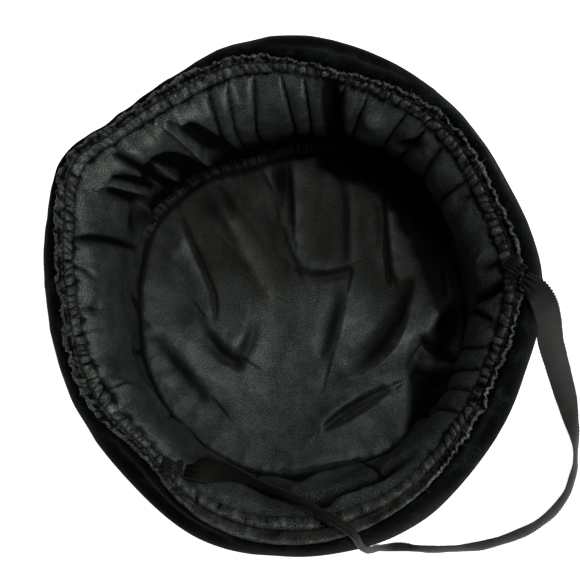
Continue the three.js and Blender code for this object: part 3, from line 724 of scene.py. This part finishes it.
def add_camera():
    back = CAMERA_WAY.normalized()
    right = Vector((0, 1, 0)).cross(back).normalized()
    top = back.cross(right)
    place = MOUTH_MIDDLE + CAMERA_DISTANCE * back + CAMERA_SIDE * right + CAMERA_TOP * top
    bpy.ops.object.camera_add()
    camera = bpy.context.object
    camera.matrix_world = Matrix.Translation(place) @ Matrix((right, top, back)).transposed().to_4x4()
    camera.data.lens = CAMERA_LENS
    camera.data.clip_start = 0.01
    bpy.context.scene.camera = camera


# Chin ribbon

RIBBON_STEPS = 1000
ROLL_CURL = 560      # how tightly it is rolled up, in radians a metre
GATHERED_END = 0.0062      # how much of each end is drawn together
PICOT_PITCH = 0.0013


def strap_line():
    """The ribbon's middle line at equal steps, with the way along, across and out of its face."""
    rows = np.array(STRAP, float)
    rows[:, :3] -= MIDDLE
    knots = np.concatenate([[0], np.cumsum(np.linalg.norm(np.diff(rows[:, :3], axis=0), axis=1))])
    fine = np.linspace(0, knots[-1], 4 * RIBBON_STEPS)
    line = smooth_through(knots, rows, fine)
    run = np.concatenate([[0], np.cumsum(np.linalg.norm(np.diff(line[:, :3], axis=0), axis=1))])
    even = np.linspace(0, run[-1], RIBBON_STEPS + 1)
    line = np.stack([np.interp(even, run, column) for column in line.T], axis=-1)
    along = np.gradient(line[:, :3], axis=0)
    along /= np.linalg.norm(along, axis=1)[:, None]
    across = np.cross(line[:, 3:6], along)
    across /= np.linalg.norm(across, axis=1)[:, None]
    return line[:, :3], across, np.cross(along, across), line[:, 6], run[-1]


STRAP_POINTS, STRAP_ACROSS, STRAP_FACE, STRAP_ROLLED, RIBBON_LENGTH = strap_line()


def add_ribbon(material):
    obj, u, v = flat_cloth("strap_ribbon", RIBBON_STEPS, 14)
    step = np.rint(u * RIBBON_STEPS).astype(int)
    run = u * RIBBON_LENGTH
    side = 2 * v - 1
    from_end = np.minimum(run, RIBBON_LENGTH - run)
    gathered = np.exp(-(from_end / GATHERED_END) ** 2 * 1.6)
    width = 1 - 0.42 * gathered
    edge = np.abs(side) ** 8
    picot = 0.00035 * edge * np.sin(math.tau * run / PICOT_PITCH)
    half = RIBBON_WIDTH / 2 * width * side + np.sign(side) * picot
    pleats = 0.0011 * gathered * np.cos(3.2 * math.pi * side + 0.6)
    spots = np.stack([run, 0 * run, 0 * run], axis=-1)
    slack = 0.0005 * waver(spots, 0.014, 3) * side + 0.00035 * waver(spots, 0.006, 8) * np.abs(side) ** 3
    cup = -0.0007 * side ** 2
    lift = pleats + slack + cup + 0.00018 * edge
    curl = np.maximum(ROLL_CURL * STRAP_ROLLED[step], 1)
    out, back = (1 / curl + lift) * np.sin(half * curl), (1 / curl + lift) * np.cos(half * curl) - 1 / curl
    points = STRAP_POINTS[step] + STRAP_ACROSS[step] * out[:, None] + STRAP_FACE[step] * back[:, None]
    lowest = np.full(RIBBON_STEPS + 1, np.inf)
    np.minimum.at(lowest, step, points[:, 2])
    points[:, 2] += np.maximum(0.0004 - lowest, 0)[step]
    shape_cloth(obj, points)
    # Painted highlight along both edges and over the gathered right end; darker at the gathered ends and most
    # over the last stretch to the left tack.
    lap = within((run / RIBBON_LENGTH - 0.8) / 0.12)
    edging = 0.8 * within((np.abs(side) - 0.86) / 0.1)
    note(obj, "ribbon_painted_light", within(edging + 0.6 * (1 - lap) * gathered))
    note(obj, "darker_end_and_pleat_shade", np.clip((0.1 + 0.4 * lap) * gathered + 0.5 * lap, 0, 0.9) * (1 - edging))
    thicken(obj, RIBBON_THICK / 2)
    return dress(obj, "chin_ribbon", material)


# Velvet body

VELVET_TURN = 0.66      # share of the way from the crown seam at which the velvet is widest
VELVET_TUCK = 0.95      # share at which it goes under the header
VELVET_TUCKED = 0.0036      # how far it then reaches under it
VELVET_LOWEST = 0.0022


def velvet_path(form, share):
    """Reach and height along the velvet, from the crown seam over the widest part to under the header."""
    width = casing_width(form)
    crest_x, crest_z = on_casing(form, width, -(HEADER_THICK / 2 + GAP))
    edge = form.seam + CROWN_SEAM_OUT
    low = within(share / VELVET_TURN) * math.pi / 2
    high = within((share - VELVET_TURN) / (VELVET_TUCK - VELVET_TURN)) * math.pi / 2
    tucked = within((share - VELVET_TUCK) / (1 - VELVET_TUCK))
    tuck_x, tuck_z = on_casing(form, width - VELVET_TUCKED, -(HEADER_THICK / 2 + 2 * GAP))
    reach = edge + (form.bulge - edge) * np.sin(low)
    height = BULGE_HEIGHT - (BULGE_HEIGHT - CROWN_SEAM_HEIGHT) * np.cos(low)
    upper = share > VELVET_TURN
    reach = np.where(upper, crest_x + (form.bulge - crest_x) * np.cos(high), reach)
    height = np.where(upper, BULGE_HEIGHT + (crest_z - BULGE_HEIGHT) * np.sin(high), height)
    return reach + (tuck_x - crest_x) * tucked, height + (tuck_z - crest_z) * tucked


def add_velvet_body(material):
    obj, u, v = flat_cloth("velvet_body", 480, 72)
    bearings = 360 * u
    form = form_at(bearings)
    reach, height = velvet_path(form, v)
    near_rim = slope_up(v, 0.74, 0.2) * slope_up(1 - v, 0, 0.05)
    near_seam = bell(v, 0, 0.12)
    gathers = 1 - 2.2 * np.abs(round_noise(bearings, 0.011, 2, 1.2 * v))
    fine = round_noise(bearings, 0.0055, 9, 0.8 * v)
    rise = 0.0008 * near_rim * (0.25 + form.drawn) * (gathers + 0.5 * fine - 0.6)
    rise += 0.0011 * near_seam * (1 - 2 * np.abs(round_noise(bearings, 0.01, 5, v))) * within(v / 0.03)
    dents = np.sin(math.pi * within(v / 0.66)) ** 0.6 + 0.25
    broad = 0.0014 * round_noise(bearings, 0.05, 14, 2 * v) * dents
    rise += broad + 0.0004 * round_noise(bearings, 0.018, 17, 5 * v)
    rise += fold_rise(np.stack([bearings, v], axis=-1), VELVET_FOLDS, VELVET_SCALE, 360)
    lean = math.pi / 2 * within(v / VELVET_TURN)
    over = math.pi / 2 * within((v - VELVET_TURN) / (VELVET_TUCK - VELVET_TURN))
    out, up = np.sin(lean) * np.cos(over), np.sin(over) - 0.7 * np.cos(lean)
    shape_cloth(obj, placed(bearings, reach + out * rise, np.maximum(height + up * rise, VELVET_LOWEST)))
    # Painted sheen: the brushed grey is strongest on the roll in under the header.
    rolled_in = slope_up(v, 0.64, 0.12) * slope_up(1 - v, 0, 0.08)
    note(obj, "wear_and_painted_highlight", within(0.45 + 0.55 * rolled_in))
    sew_up(obj)
    thicken(obj, VELVET_CLOTH)
    dress(obj, "velvet_side", material)
    return obj


def round_cloth(name, faces):
    """A round cloth: a square grid eased out to a disc. Returns the object with its x and y within 1."""
    obj, u, v = flat_cloth(name, faces, faces)
    a, b = 2 * u - 1, 2 * v - 1
    return obj, a * np.sqrt(1 - b ** 2 / 2), b * np.sqrt(1 - a ** 2 / 2)


def disc_places(x, y):
    return np.degrees(np.arctan2(y, x)), within(np.hypot(x, y))


def add_velvet_crown(material):
    """The outer crown panel, flat where the bonnet rests."""
    obj, x, y = round_cloth("velvet_crown", 100)
    bearings, share = disc_places(x, y)
    edge = form_at(bearings).seam + CROWN_SEAM_OUT - VELVET_WALL / 3
    reach = edge * share
    turned_up = smooth_through([0, 0.06, 0.071, 0.09], [[0], [0], [0.0012], [0.0052]], reach)[:, 0]
    puckers = 0.0005 * round_noise(bearings, 0.009, 21) * slope_up(share, 0.85, 0.15)
    top = placed(bearings, reach, VELVET_WALL + np.maximum(turned_up + puckers, 0))
    shape_cloth(obj, top)
    note(obj, "wear_and_painted_highlight", 0.5 * np.ones(len(x)))
    thicken(obj, VELVET_WALL - 0.0001)
    dress(obj, "velvet_tip", material)
    return obj


# Casing

PUCKERS = 152
SMOOTHED, SMOOTHED_SPREAD = 122, 34      # bearings round which the channel is pulled almost smooth


def pucker_phase(bearings):
    """Counts the casing's puckers, unevenly spaced, a whole number once round."""
    coarse, fine = round_noise(bearings, 0.022, 31), round_noise(bearings, 0.009, 37)
    return PUCKERS * bearings / 360 + 1.1 * coarse + 0.9 * fine


def pucker_swell(phase, sharpness):
    """0 in the valleys between the puckers and 1 on their round tops."""
    return np.abs(np.sin(math.pi * phase)) ** sharpness


def add_channel(material):
    """The inner row: a narrow tube of satin drawn up in uneven puckers."""
    obj, u, v = flat_cloth("drawn_channel", 1500, 18)
    bearings = 360 * u
    form = form_at(bearings)
    drawn = np.maximum(form.drawn, 0.15) * (1 - 0.75 * bell(bearings, SMOOTHED, SMOOTHED_SPREAD, 4))
    angle = -math.pi / 2 - math.tau * (0.04 + 0.92 * v)
    slant = 0.7 * round_noise(bearings, 0.01, 39) * np.cos(angle)
    phase = pucker_phase(bearings) + slant + 0.16 * round_noise(bearings, 0.002, 40, 2 * v)
    swell = pucker_swell(phase, 0.3)
    tall = 1 + 0.9 * round_noise(bearings, 0.0045, 41, 0.5 * np.cos(angle))
    crinkle = (0.3 + 0.7 * form.drawn) * (0.5 * round_noise(bearings, 0.0021, 43, 2.2 * v)
                                     + 0.18 * round_noise(bearings, 0.0009, 45, 4 * v))
    half = casing_width(form) * CHANNEL_SHARE / 2
    half_up = CHANNEL_THICK / 2 * (0.1 + 1.25 * (1 - drawn + drawn * swell * tall) + crinkle)
    lumps = round_noise(bearings, 0.0026, 44, 2 * v)
    half_up += 0.0004 * (1 - form.drawn) * lumps
    half_in = half * (0.66 + 0.36 * (1 - drawn + drawn * swell * tall) + 0.35 * crinkle)
    wander = 0.0005 * round_noise(bearings, 0.012, 47)
    flat = np.sign(np.sin(angle)) * np.abs(np.sin(angle)) ** 0.8
    reach, height = on_casing(form, half + wander + half_in * np.cos(angle), half_up * flat)
    shape_cloth(obj, placed(bearings, reach, height))
    # Painted shade in the valleys between the puckers and where the crinkles pinch; the flat stretch has less
    # of it and is painted lighter on its crushed lumps.
    valley = np.abs(np.sin(math.pi * phase)) / (0.3 + 0.2 * round_noise(bearings, 0.007, 42))
    pinched = within(-0.2 - crinkle / 0.3) * form.drawn
    crushed = (1 - form.drawn) * (lumps + 0.5 * round_noise(bearings, 0.0012, 46, 3 * v))
    shade = within(1.9 - 1.3 * valley) * drawn + pinched - 2.4 * crushed - 0.6 * (1 - form.drawn)
    note(obj, "painted_shade", within(shade))
    # Lighter at random where rubbed, with painted highlights on the crushed lumps.
    rubbed = 0.35 + 1.5 * round_noise(bearings, 0.003, 48, 2 * v)
    note(obj, "wear_and_painted_highlight", within(rubbed * form.drawn + 3 * crushed))
    note(obj, "faded", 0.5 + 0.5 * round_noise(bearings, 0.03, 49))
    sew_up(obj)
    thicken(obj, CASING_CLOTH)
    dress(obj, "casing_channel", material)
    return obj


def add_header(material):
    """The outer row: a folded edge of satin, crinkled where it is drawn up and flat along one side."""
    obj, u, v = flat_cloth("crinkled_header", 1500, 24)
    bearings = 360 * u
    form = form_at(bearings)
    drawn = form.drawn
    outer = within(1 - np.abs(2 * v - 1) * 1.04)
    layer = np.sign(v - 0.5) * within(np.abs(2 * v - 1) / 0.12) ** 0.5
    width = casing_width(form)
    start = width * CHANNEL_SHARE + 0.0001
    slant = (0.4 + 1.6 * round_noise(bearings, 0.012, 50)) * outer
    phase = 1.25 * pucker_phase(bearings) + slant + 0.35 * round_noise(bearings, 0.003, 52, 1.5 * outer)
    swell = pucker_swell(phase, 0.6)
    crumple = round_noise(bearings, 0.0026, 53, 2.2 * v) + 0.6 * round_noise(bearings, 0.0012, 57, 3 * v)
    tall = 1 + 0.7 * round_noise(bearings, 0.005, 51)
    rise = drawn * (0.0013 * (swell * tall - 0.45) * (0.5 + 0.5 * outer) + 0.0008 * crumple)
    lumps = round_noise(bearings, 0.0034, 75, 1.5 * v)
    rise += (1 - drawn) * (0.0003 * round_noise(bearings, 0.016, 59, v) + 0.0004 * lumps)
    bead = bell(outer, 0.84, 0.14)
    gap = bell(outer, 0.4, 0.22) * within(0.65 + 2.4 * round_noise(bearings, 0.0032, 60, outer))
    rise += drawn * (0.0009 * bead - 0.0012 * gap)
    rise += 0.0005 * np.sin(math.pi * within(outer)) - 0.0009 * slope_up(v, 0.93, 0.07)
    curl = drawn * 0.001 * outer ** 3 * round_noise(bearings, 0.005, 61)
    uneven = 0.5 + 1.1 * round_noise(bearings, 0.0045, 67) + 0.6 * round_noise(bearings, 0.0014, 69)
    draw_in = drawn * 0.0014 * outer ** 2 * np.clip(uneven, 0, 1.4)
    distance = start + (width + 0.0006 - start) * outer - draw_in
    slip = 0.8 * drawn * round_noise(bearings, 0.004, 71, v) * outer
    reach, height = on_casing(form, distance, 0.0004 * layer + rise + curl)
    shape_cloth(obj, placed(bearings + slip, reach, height))
    # Painted shade in the groove along the stitched side, between the puckers, in the gaps behind the bead,
    # and along random creases of the flat stretch.
    groove_shade = slope_up(0.16 - outer, 0, 0.16)
    hole_shade = drawn * (within(1.2 - swell / 0.5 - 1.3 * crumple) + 1.2 * gap)
    crease_shade = (1 - drawn) * np.clip(2.2 * round_noise(bearings, 0.007, 77, 2 * v) - 0.5, 0, 0.9)
    note(obj, "painted_shade", within(hole_shade + crease_shade + groove_shade))
    # Painted highlight along the rolled outer edge and on the crumples, and lighter on the crushed lumps of
    # the flat stretch.
    edge = slope_up(outer, 0.8, 0.15)
    crushed = (1 - drawn) * within(2.4 * lumps - 0.2)
    note(obj, "wear_and_painted_highlight", within(0.75 * edge + crushed + drawn * np.clip(1.2 * crumple, 0, 0.8)))
    note(obj, "faded", 0.5 + 0.5 * round_noise(bearings, 0.03, 73))
    sew_up(obj)
    thicken(obj, CASING_CLOTH)
    dress(obj, "casing_header", material)
    return obj


# Lining

STRIP_FROM, STRIP_TO = 68, 158      # bearings between which the gathered strip shows above the crown seam
STRIP_SHARE = 0.84
PAINTED_SHADOW_BEARING = 48      # bearing round which shadow is painted low on the side lining and at the edge of the crown lining


def lining_seam(bearings):
    """Reach of the seam between the two linings."""
    return form_at(bearings).seam - 0.0052 * bell(bearings, 110, 15)


def crease_rise(bearings, share):
    """Hollows of the side lining along its creases, and how near each place is to the bottom of one."""
    total, near = np.zeros(len(bearings)), np.zeros(len(bearings))
    for crease in CREASES:
        bend = 1.1 * np.sin(math.tau * share + crease.mouth_bearing)
        middle = crease.mouth_bearing + (crease.seam_bearing - crease.mouth_bearing) * share + bend
        away = np.abs((bearings - middle + 180) % 360 - 180) / crease.spread
        reach = within((share - crease.start) / 0.12 + 0.3) * within((crease.end - share) / 0.15 + 0.3)
        profile = 0.2 * np.exp(-1.1 * away ** 2) + 0.8 * np.exp(-7 * away)
        total = np.maximum(total, 1.5 * crease.depth * reach * profile)
        near = np.maximum(near, reach * bell(away, 0, 0.17))
    return -total, near


def add_side_lining(material):
    obj, u, share = flat_cloth("side_lining", 790, 62)
    bearings = 360 * u
    form = form_at(bearings)
    fall = np.array(LINING_FALL, float)
    bulge, drop = smooth_through(fall[:, 0], fall[:, 1:], share).T
    top = form.height - MOUTH_DROP - GAP
    strip = slope_up(bearings, STRIP_FROM, 8) * slope_up(STRIP_TO - bearings, 0, 12)
    bulge = np.where(bulge < 0, bulge * (0.25 + 0.75 * strip), bulge)
    reach = form.mouth + 0.001 + (lining_seam(bearings) - form.mouth - 0.001) * drop - bulge
    height = top + (LINING_SEAM_HEIGHT - top) * drop
    free = within(np.minimum(share, 1 - share) / 0.12)
    creases, near_crease = crease_rise(bearings, share)
    folds = fold_rise(np.stack([bearings, share], axis=-1), SIDE_FOLDS, SIDE_SCALE, 360)
    inward = (creases + folds) * free
    drawn = 0.35 + 0.65 * form.drawn
    gathers = np.abs(round_noise(bearings, 0.0065, 81, 0.8 * share)) ** 0.7 - 0.4
    inward += 0.0026 * drawn * bell(share, 0, 0.15) * gathers
    inward += 0.0018 * round_noise(bearings, 0.024, 87, 2.6 * share) * free
    inward += 0.0006 * round_noise(bearings, 0.008, 89, 4 * share) * free
    below = slope_up(share, STRIP_SHARE, 0.03)
    lip = bell(share - STRIP_SHARE + 0.05, 0, 0.06)
    ruffled = np.abs(round_noise(bearings, 0.0028, 91, 0.3 * share)) ** 0.6 - 0.4
    inward += strip * 0.0012 * lip
    tuck = slope_up(share, 0.965, 0.035)
    inward -= 0.0008 * tuck ** 2
    lifted = strip * below * (0.0016 + 0.0014 * ruffled) * slope_up(1 - share, 0, 0.04)
    height += lifted - 0.0016 * slope_up(share, 0.94, 0.06)
    shape_cloth(obj, placed(bearings, reach - inward, height))
    note(obj, "faded", strip * below)
    # Painted shade: along the seam, in the hollows of the strip's ruffles, in a band above the strip, low on
    # the wall round the shadowed bearing as a painted shadow, low on the wall away from the strip, along the
    # creases, at the neck under the casing, and in the folds' hollows.
    seam_shade = slope_up(share, 0.98, 0.02) + strip * below * within(0.1 - 2.4 * ruffled)
    seam_shade += strip * within((share - 0.56 - 0.05 * ruffled) / 0.14) * (1 - below)
    under = bell(bearings, PAINTED_SHADOW_BEARING, 30, 4)
    seam_shade += under * slope_up(share, 0.42, 0.06)
    seam_shade += (1 - strip) * slope_up(share, 0.8, 0.1)
    zigzag = 0.04 + 0.022 * round_noise(bearings, 0.0042, 93) + 0.02 * round_noise(bearings, 0.0018, 94)
    neck = drawn * within((zigzag - share) / 0.016)
    note(obj, "painted_shade", within(near_crease + seam_shade + neck + within(-folds / 0.0026) ** 1.3))
    # Painted highlight high on the wall over the painted shadow, on the upper wall at the strip's bearings,
    # and on the crests of the folds.
    wear_and_painted_highlight = 0.5 * under * bell(share, 0.2, 0.14) + 0.45 * strip * bell(share, 0.3, 0.2)
    note(obj, "wear_and_painted_highlight", within(wear_and_painted_highlight + within(folds / 0.0032) ** 2))
    sew_up(obj)
    thicken(obj, SIDE_CLOTH)
    dress(obj, "lining_side", material)
    return obj


STREAK = Fold((-0.036, 0.049), (-0.028, 0.031), (-0.015, 0.008), 1, 0.0012, 0.0012)
STREAK_GLOW = Fold((-0.032, 0.042), (-0.021, 0.026), (-0.011, 0.004), 1, 0.007, 0.006)


def add_crown_lining(material):
    obj, x, y = round_cloth("crown_lining", 215)
    bearings, share = disc_places(x, y)
    reach = (lining_seam(bearings % 360) + 0.001) * share
    places = turned_out(bearings, reach, 0)
    flat_places = places[:, :2]
    height = LINING_MIDDLE_HEIGHT + (LINING_SEAM_HEIGHT - LINING_MIDDLE_HEIGHT) * share ** 2.4
    soft = 1 - share ** 8
    folds = fold_rise(flat_places, CROWN_FOLDS)
    height += 1.6 * folds * (0.25 + 0.75 * soft)
    height += 0.0008 * soft * waver(places, 0.026, 101) + 0.00025 * waver(places, 0.012, 103)
    height += 0.00006 * waver(places, 0.005, 104)
    drag = 1 - 2.2 * np.abs(round_noise(bearings, 0.013, 105, 1.3 * share))
    pulled = 0.5 + 0.5 * np.cos(np.radians(bearings - 95))
    height += 0.0004 * drag * bell(1 - share, 0, 0.16 + 0.3 * pulled) * slope_up(1 - share, 0, 0.05)
    puckers = bell(1 - share, 0, 0.06)
    height += 0.0006 * puckers * round_noise(bearings, 0.0045, 107)
    height = np.maximum(height, VELVET_WALL + 0.0007)
    shape_cloth(obj, placed(bearings, reach, height))
    upper = within((places[:, 1] + 0.014 + 0.016 * waver(places, 0.024, 109)) / 0.034)
    note(obj, "faded", upper)
    line, glow = fold_rise(flat_places, [STREAK]), fold_rise(flat_places, [STREAK_GLOW])
    note(obj, "streak", 0.75 * line + 0.25 * glow)
    # Painted shade in the hollows of the folds, a painted shadow at the edge round the shadowed bearing,
    # painted shade along the seam, and a faint painted darkening towards -y.
    hollows = fold_rise(flat_places, [fold for fold in CROWN_FOLDS if fold.rise < 0])
    under = bell(bearings, PAINTED_SHADOW_BEARING, 34, 4) * slope_up(share, 0.84, 0.08)
    under += 0.8 * slope_up(share, 0.962, 0.02)
    near_side = 0.16 * within((-places[:, 1] - 0.015) / 0.04)
    note(obj, "painted_shade", within(0.88 * within(-hollows / 0.0014) ** 1.3 + under + near_side))
    # Painted highlights on the crests of the folds.
    crests = fold_rise(flat_places, [fold for fold in CROWN_FOLDS if fold.rise > 0])
    note(obj, "wear_and_painted_highlight", within(crests / 0.0017) ** 1.6)
    thicken(obj, CROWN_CLOTH)
    dress(obj, "lining_tip", material)
    return obj


# Stitching

STITCH_LENGTH = 0.0017
STITCH_RADIUS = 0.00012
CASING_STITCHES = 196
TACK_STITCHES = 6


def stitch_shape():
    """One stitch along Z with rounded ends."""
    bpy.ops.object.select_all(action="DESELECT")
    bpy.ops.mesh.primitive_cylinder_add(vertices=6, radius=STITCH_RADIUS, depth=STITCH_LENGTH)
    stitch = bpy.context.object
    rounded = stitch.modifiers.new("rounded", "BEVEL")
    rounded.width = STITCH_RADIUS * 0.6
    rounded.segments = 1
    bpy.ops.object.modifier_apply(modifier=rounded.name)
    return stitch


def sew_stitches(name, middles, ways, material):
    """Copies of one stitch at each middle, lying along each way, joined as one piece."""
    first = stitch_shape()
    copies = []
    for middle, way in zip(middles, ways):
        copy = first.copy()
        copy.data = first.data.copy()
        turn = Vector(way).to_track_quat("Z", "X").to_matrix().to_4x4()
        copy.data.transform(Matrix.Translation(middle) @ turn)
        bpy.context.scene.collection.objects.link(copy)
        copies.append(copy)
    bpy.data.objects.remove(first)
    bpy.ops.object.select_all(action="DESELECT")
    for copy in copies:
        copy.select_set(True)
    bpy.context.view_layer.objects.active = copies[0]
    bpy.ops.object.join()
    row = bpy.context.object
    row.name = row.data.name = name
    return dress(row, None, material)


def add_casing_stitches(material):
    """The row of thread between the channel and the header."""
    bearings = np.arange(CASING_STITCHES) * 360 / CASING_STITCHES
    form = form_at(bearings)
    distance = casing_width(form) * CHANNEL_SHARE
    reach, height = on_casing(form, distance, 0.001 + 0.0002 * round_noise(bearings, 0.004, 121))
    middles = placed(bearings, reach, height)
    ways = np.roll(middles, -1, axis=0) - np.roll(middles, 1, axis=0)
    return sew_stitches("casing_stitches", middles, ways, material)


def add_tack(tack, material, thread):
    """A folded end of the ribbon, gathered at its waist and turned under."""
    form = form_at([tack.bearing])
    reach, height = on_casing(form, tack.distance, tack.rise)
    seat = placed(form.bearing, reach, height)[0]
    width = casing_width(form)[0]
    angle = math.radians(tack.bearing)
    slope_x, slope_z = (form.rim[0] - form.mouth[0]) / width, MOUTH_DROP / width
    outward = Vector((slope_x * math.cos(angle), slope_x * math.sin(angle), slope_z))
    around = Vector((-math.sin(angle), math.cos(angle), 0))
    up = outward.cross(around)
    leave = Matrix.Rotation(math.radians(tack.turn), 3, up) @ outward
    side_way = leave.cross(up)

    obj, u, v = flat_cloth(tack.name, 76, 40)
    layer = np.where(v < 0.5, -1, 1)
    run = np.where(v < 0.5, 1 - 2 * v, 2 * v - 1)
    turned = bell(run, 0, 0.09)
    along = TACK_LENGTH * (run - 0.5)
    waist = 1 - 0.42 * bell(run, 0.55, 0.2)
    side = 2 * u - 1
    across = TACK_WIDTH / 2 * waist * side
    pleats = np.cos(4.5 * math.pi * side + 0.8 * layer) * (0.4 + 0.9 * (1 - waist) / 0.42)
    lift = layer * 0.00042 * (1 - turned) + 0.0004 * pleats + 0.0004 * (1 - side ** 2)
    spots = np.stack([across, along, 0.002 * layer], axis=-1)
    lift = lift + 0.00025 * waver(spots, 0.0016, 131)
    points = seat + np.outer(across, side_way) + np.outer(along, leave) + np.outer(lift, up)
    shape_cloth(obj, points)
    # Painted highlight over the whole tack, most at its edges, and painted shade in the hollows of its
    # pleats.
    note(obj, "ribbon_painted_light", 0.7 + 0.3 * within((np.abs(side) - 0.8) / 0.1))
    note(obj, "darker_end_and_pleat_shade", 0.25 * within(-pleats))
    thicken(obj, TACK_CLOTH)
    dress(obj, tack.node, material)
    offsets = np.linspace(-0.0022, 0.0022, TACK_STITCHES)
    middles = [seat + np.array(side_way) * offset + np.array(leave) * (0.0004 + 0.0004 * (-1) ** i)
               + np.array(up) * 0.0011 for i, offset in enumerate(offsets)]
    ways = [leave + side_way * (0.25 * (-1) ** i) for i in range(TACK_STITCHES)]
    return obj, sew_stitches(tack.name + "_stitches", middles, ways, thread)


# Loose threads: bearing, distance from the casing's inner edge, how many, and the longest
Tuft = namedtuple("Tuft", "bearing distance threads length")
TUFTS = (
    Tuft(303, 0.0045, 9, 0.006),
    Tuft(305, 0.0035, 6, 0.005),
    Tuft(281, 0.004, 8, 0.005),
    Tuft(316, 0.006, 5, 0.004),
    Tuft(242, 0.006, 9, 0.006),
    Tuft(30, 0.008, 4, 0.004),
    Tuft(55, 0.007, 3, 0.004),
    Tuft(212, 0.005, 3, 0.003),
)


def add_loose_threads(material):
    """Frayed ends at the casing, each a thin curved thread."""
    random = np.random.default_rng(12)
    curve = bpy.data.curves.new("loose_threads", "CURVE")
    curve.dimensions = "3D"
    curve.bevel_depth = 0.00009
    curve.bevel_resolution = 1
    for tuft in TUFTS:
        form = form_at([tuft.bearing])
        reach, height = on_casing(form, tuft.distance, 0.0012)
        foot = placed(form.bearing, reach, height)[0]
        for _ in range(tuft.threads):
            way = random.normal(size=3)
            way[2] = abs(way[2]) * 0.5
            way /= np.linalg.norm(way)
            bend = random.normal(size=3) * 0.5
            spline = curve.splines.new("POLY")
            spline.points.add(7)
            length = tuft.length * random.uniform(0.5, 1)
            for i, point in enumerate(spline.points):
                share = i / 7
                place = foot + length * (way * share + bend * share ** 2 * 0.7)
                point.co = (*place, 1)
    obj = bpy.data.objects.new("loose_threads", curve)
    bpy.context.scene.collection.objects.link(obj)
    pick(obj)
    bpy.ops.object.convert(target="MESH")
    return dress(bpy.context.object, None, material)


# Floor and light

Lamp = namedtuple("Lamp", "name place size power")
LAMPS = (
    Lamp("key", (0.3, 0.18, 1.12), 0.08, 3.6),
    Lamp("side_light", (0.78, 0.36, 0.75), 0.4, 2.2),
    Lamp("low_light", (0.8, -0.7, 0.45), 0.4, 4.8),
)
LAMP_AIM = Vector((0, 0, 0.05))
WORLD_LIGHT = 0.15
FLOOR_DROP = 0.0002      # how far the floor lies below the bonnet, so that they don't meet


def add_floor():
    bpy.ops.object.select_all(action="DESELECT")
    bpy.ops.mesh.primitive_plane_add(size=6, location=(0, 0, -FLOOR_DROP))
    floor = bpy.context.object
    floor.name = "floor"
    material, _, shader = new_material("pale_floor", (0.88, 0.88, 0.88), 0.9, 0.2)
    shader.inputs["Emission Color"].default_value = (1, 1, 1, 1)
    shader.inputs["Emission Strength"].default_value = 0.95
    floor.data.materials.append(material)


def add_light(name, place, size, power):
    bpy.ops.object.light_add(type="AREA", location=place)
    light = bpy.context.object
    light.name = name
    light.data.size = size
    light.data.energy = power
    light.rotation_euler = (LAMP_AIM - Vector(place)).to_track_quat("-Z", "Y").to_euler()


def add_studio():
    add_floor()
    for lamp in LAMPS:
        add_light(*lamp)
    bpy.context.scene.view_settings.view_transform = "Standard"
    world = bpy.data.worlds.new("studio")
    bpy.context.scene.world = world
    world.use_nodes = True
    background = world.node_tree.nodes["Background"]
    background.inputs["Color"].default_value = (1, 1, 1, 1)
    background.inputs["Strength"].default_value = WORLD_LIGHT


add_camera()
THREAD = sewing_thread()
RIBBON_SATIN = ribbon_cloth()
VELVET = velvet_cloth()
ribbon = add_ribbon(RIBBON_SATIN)
tack_pieces = [piece for tack in TACKS for piece in add_tack(tack, RIBBON_SATIN, THREAD)]
add_velvet_body(VELVET)
add_velvet_crown(VELVET)
add_channel(satin_cloth("channel_satin", 0.62, 0.0115, LIT_CASING_GREY, LIT_DUSTY_GREY, gloss=0.1))
add_header(satin_cloth("header_satin", 0.64, 0.0105, LIT_CASING_GREY, LIT_DUSTY_GREY, gloss=0.1))
add_side_lining(satin_cloth("side_satin", 0.62, 0.08, SLATE, OLIVE, gloss=0.12))
add_crown_lining(satin_cloth("crown_satin", 0.17, 0.17, CHARCOAL, FADED, gloss=0.16, streak=BEIGE))
add_casing_stitches(THREAD)
add_loose_threads(THREAD)
add_studio()
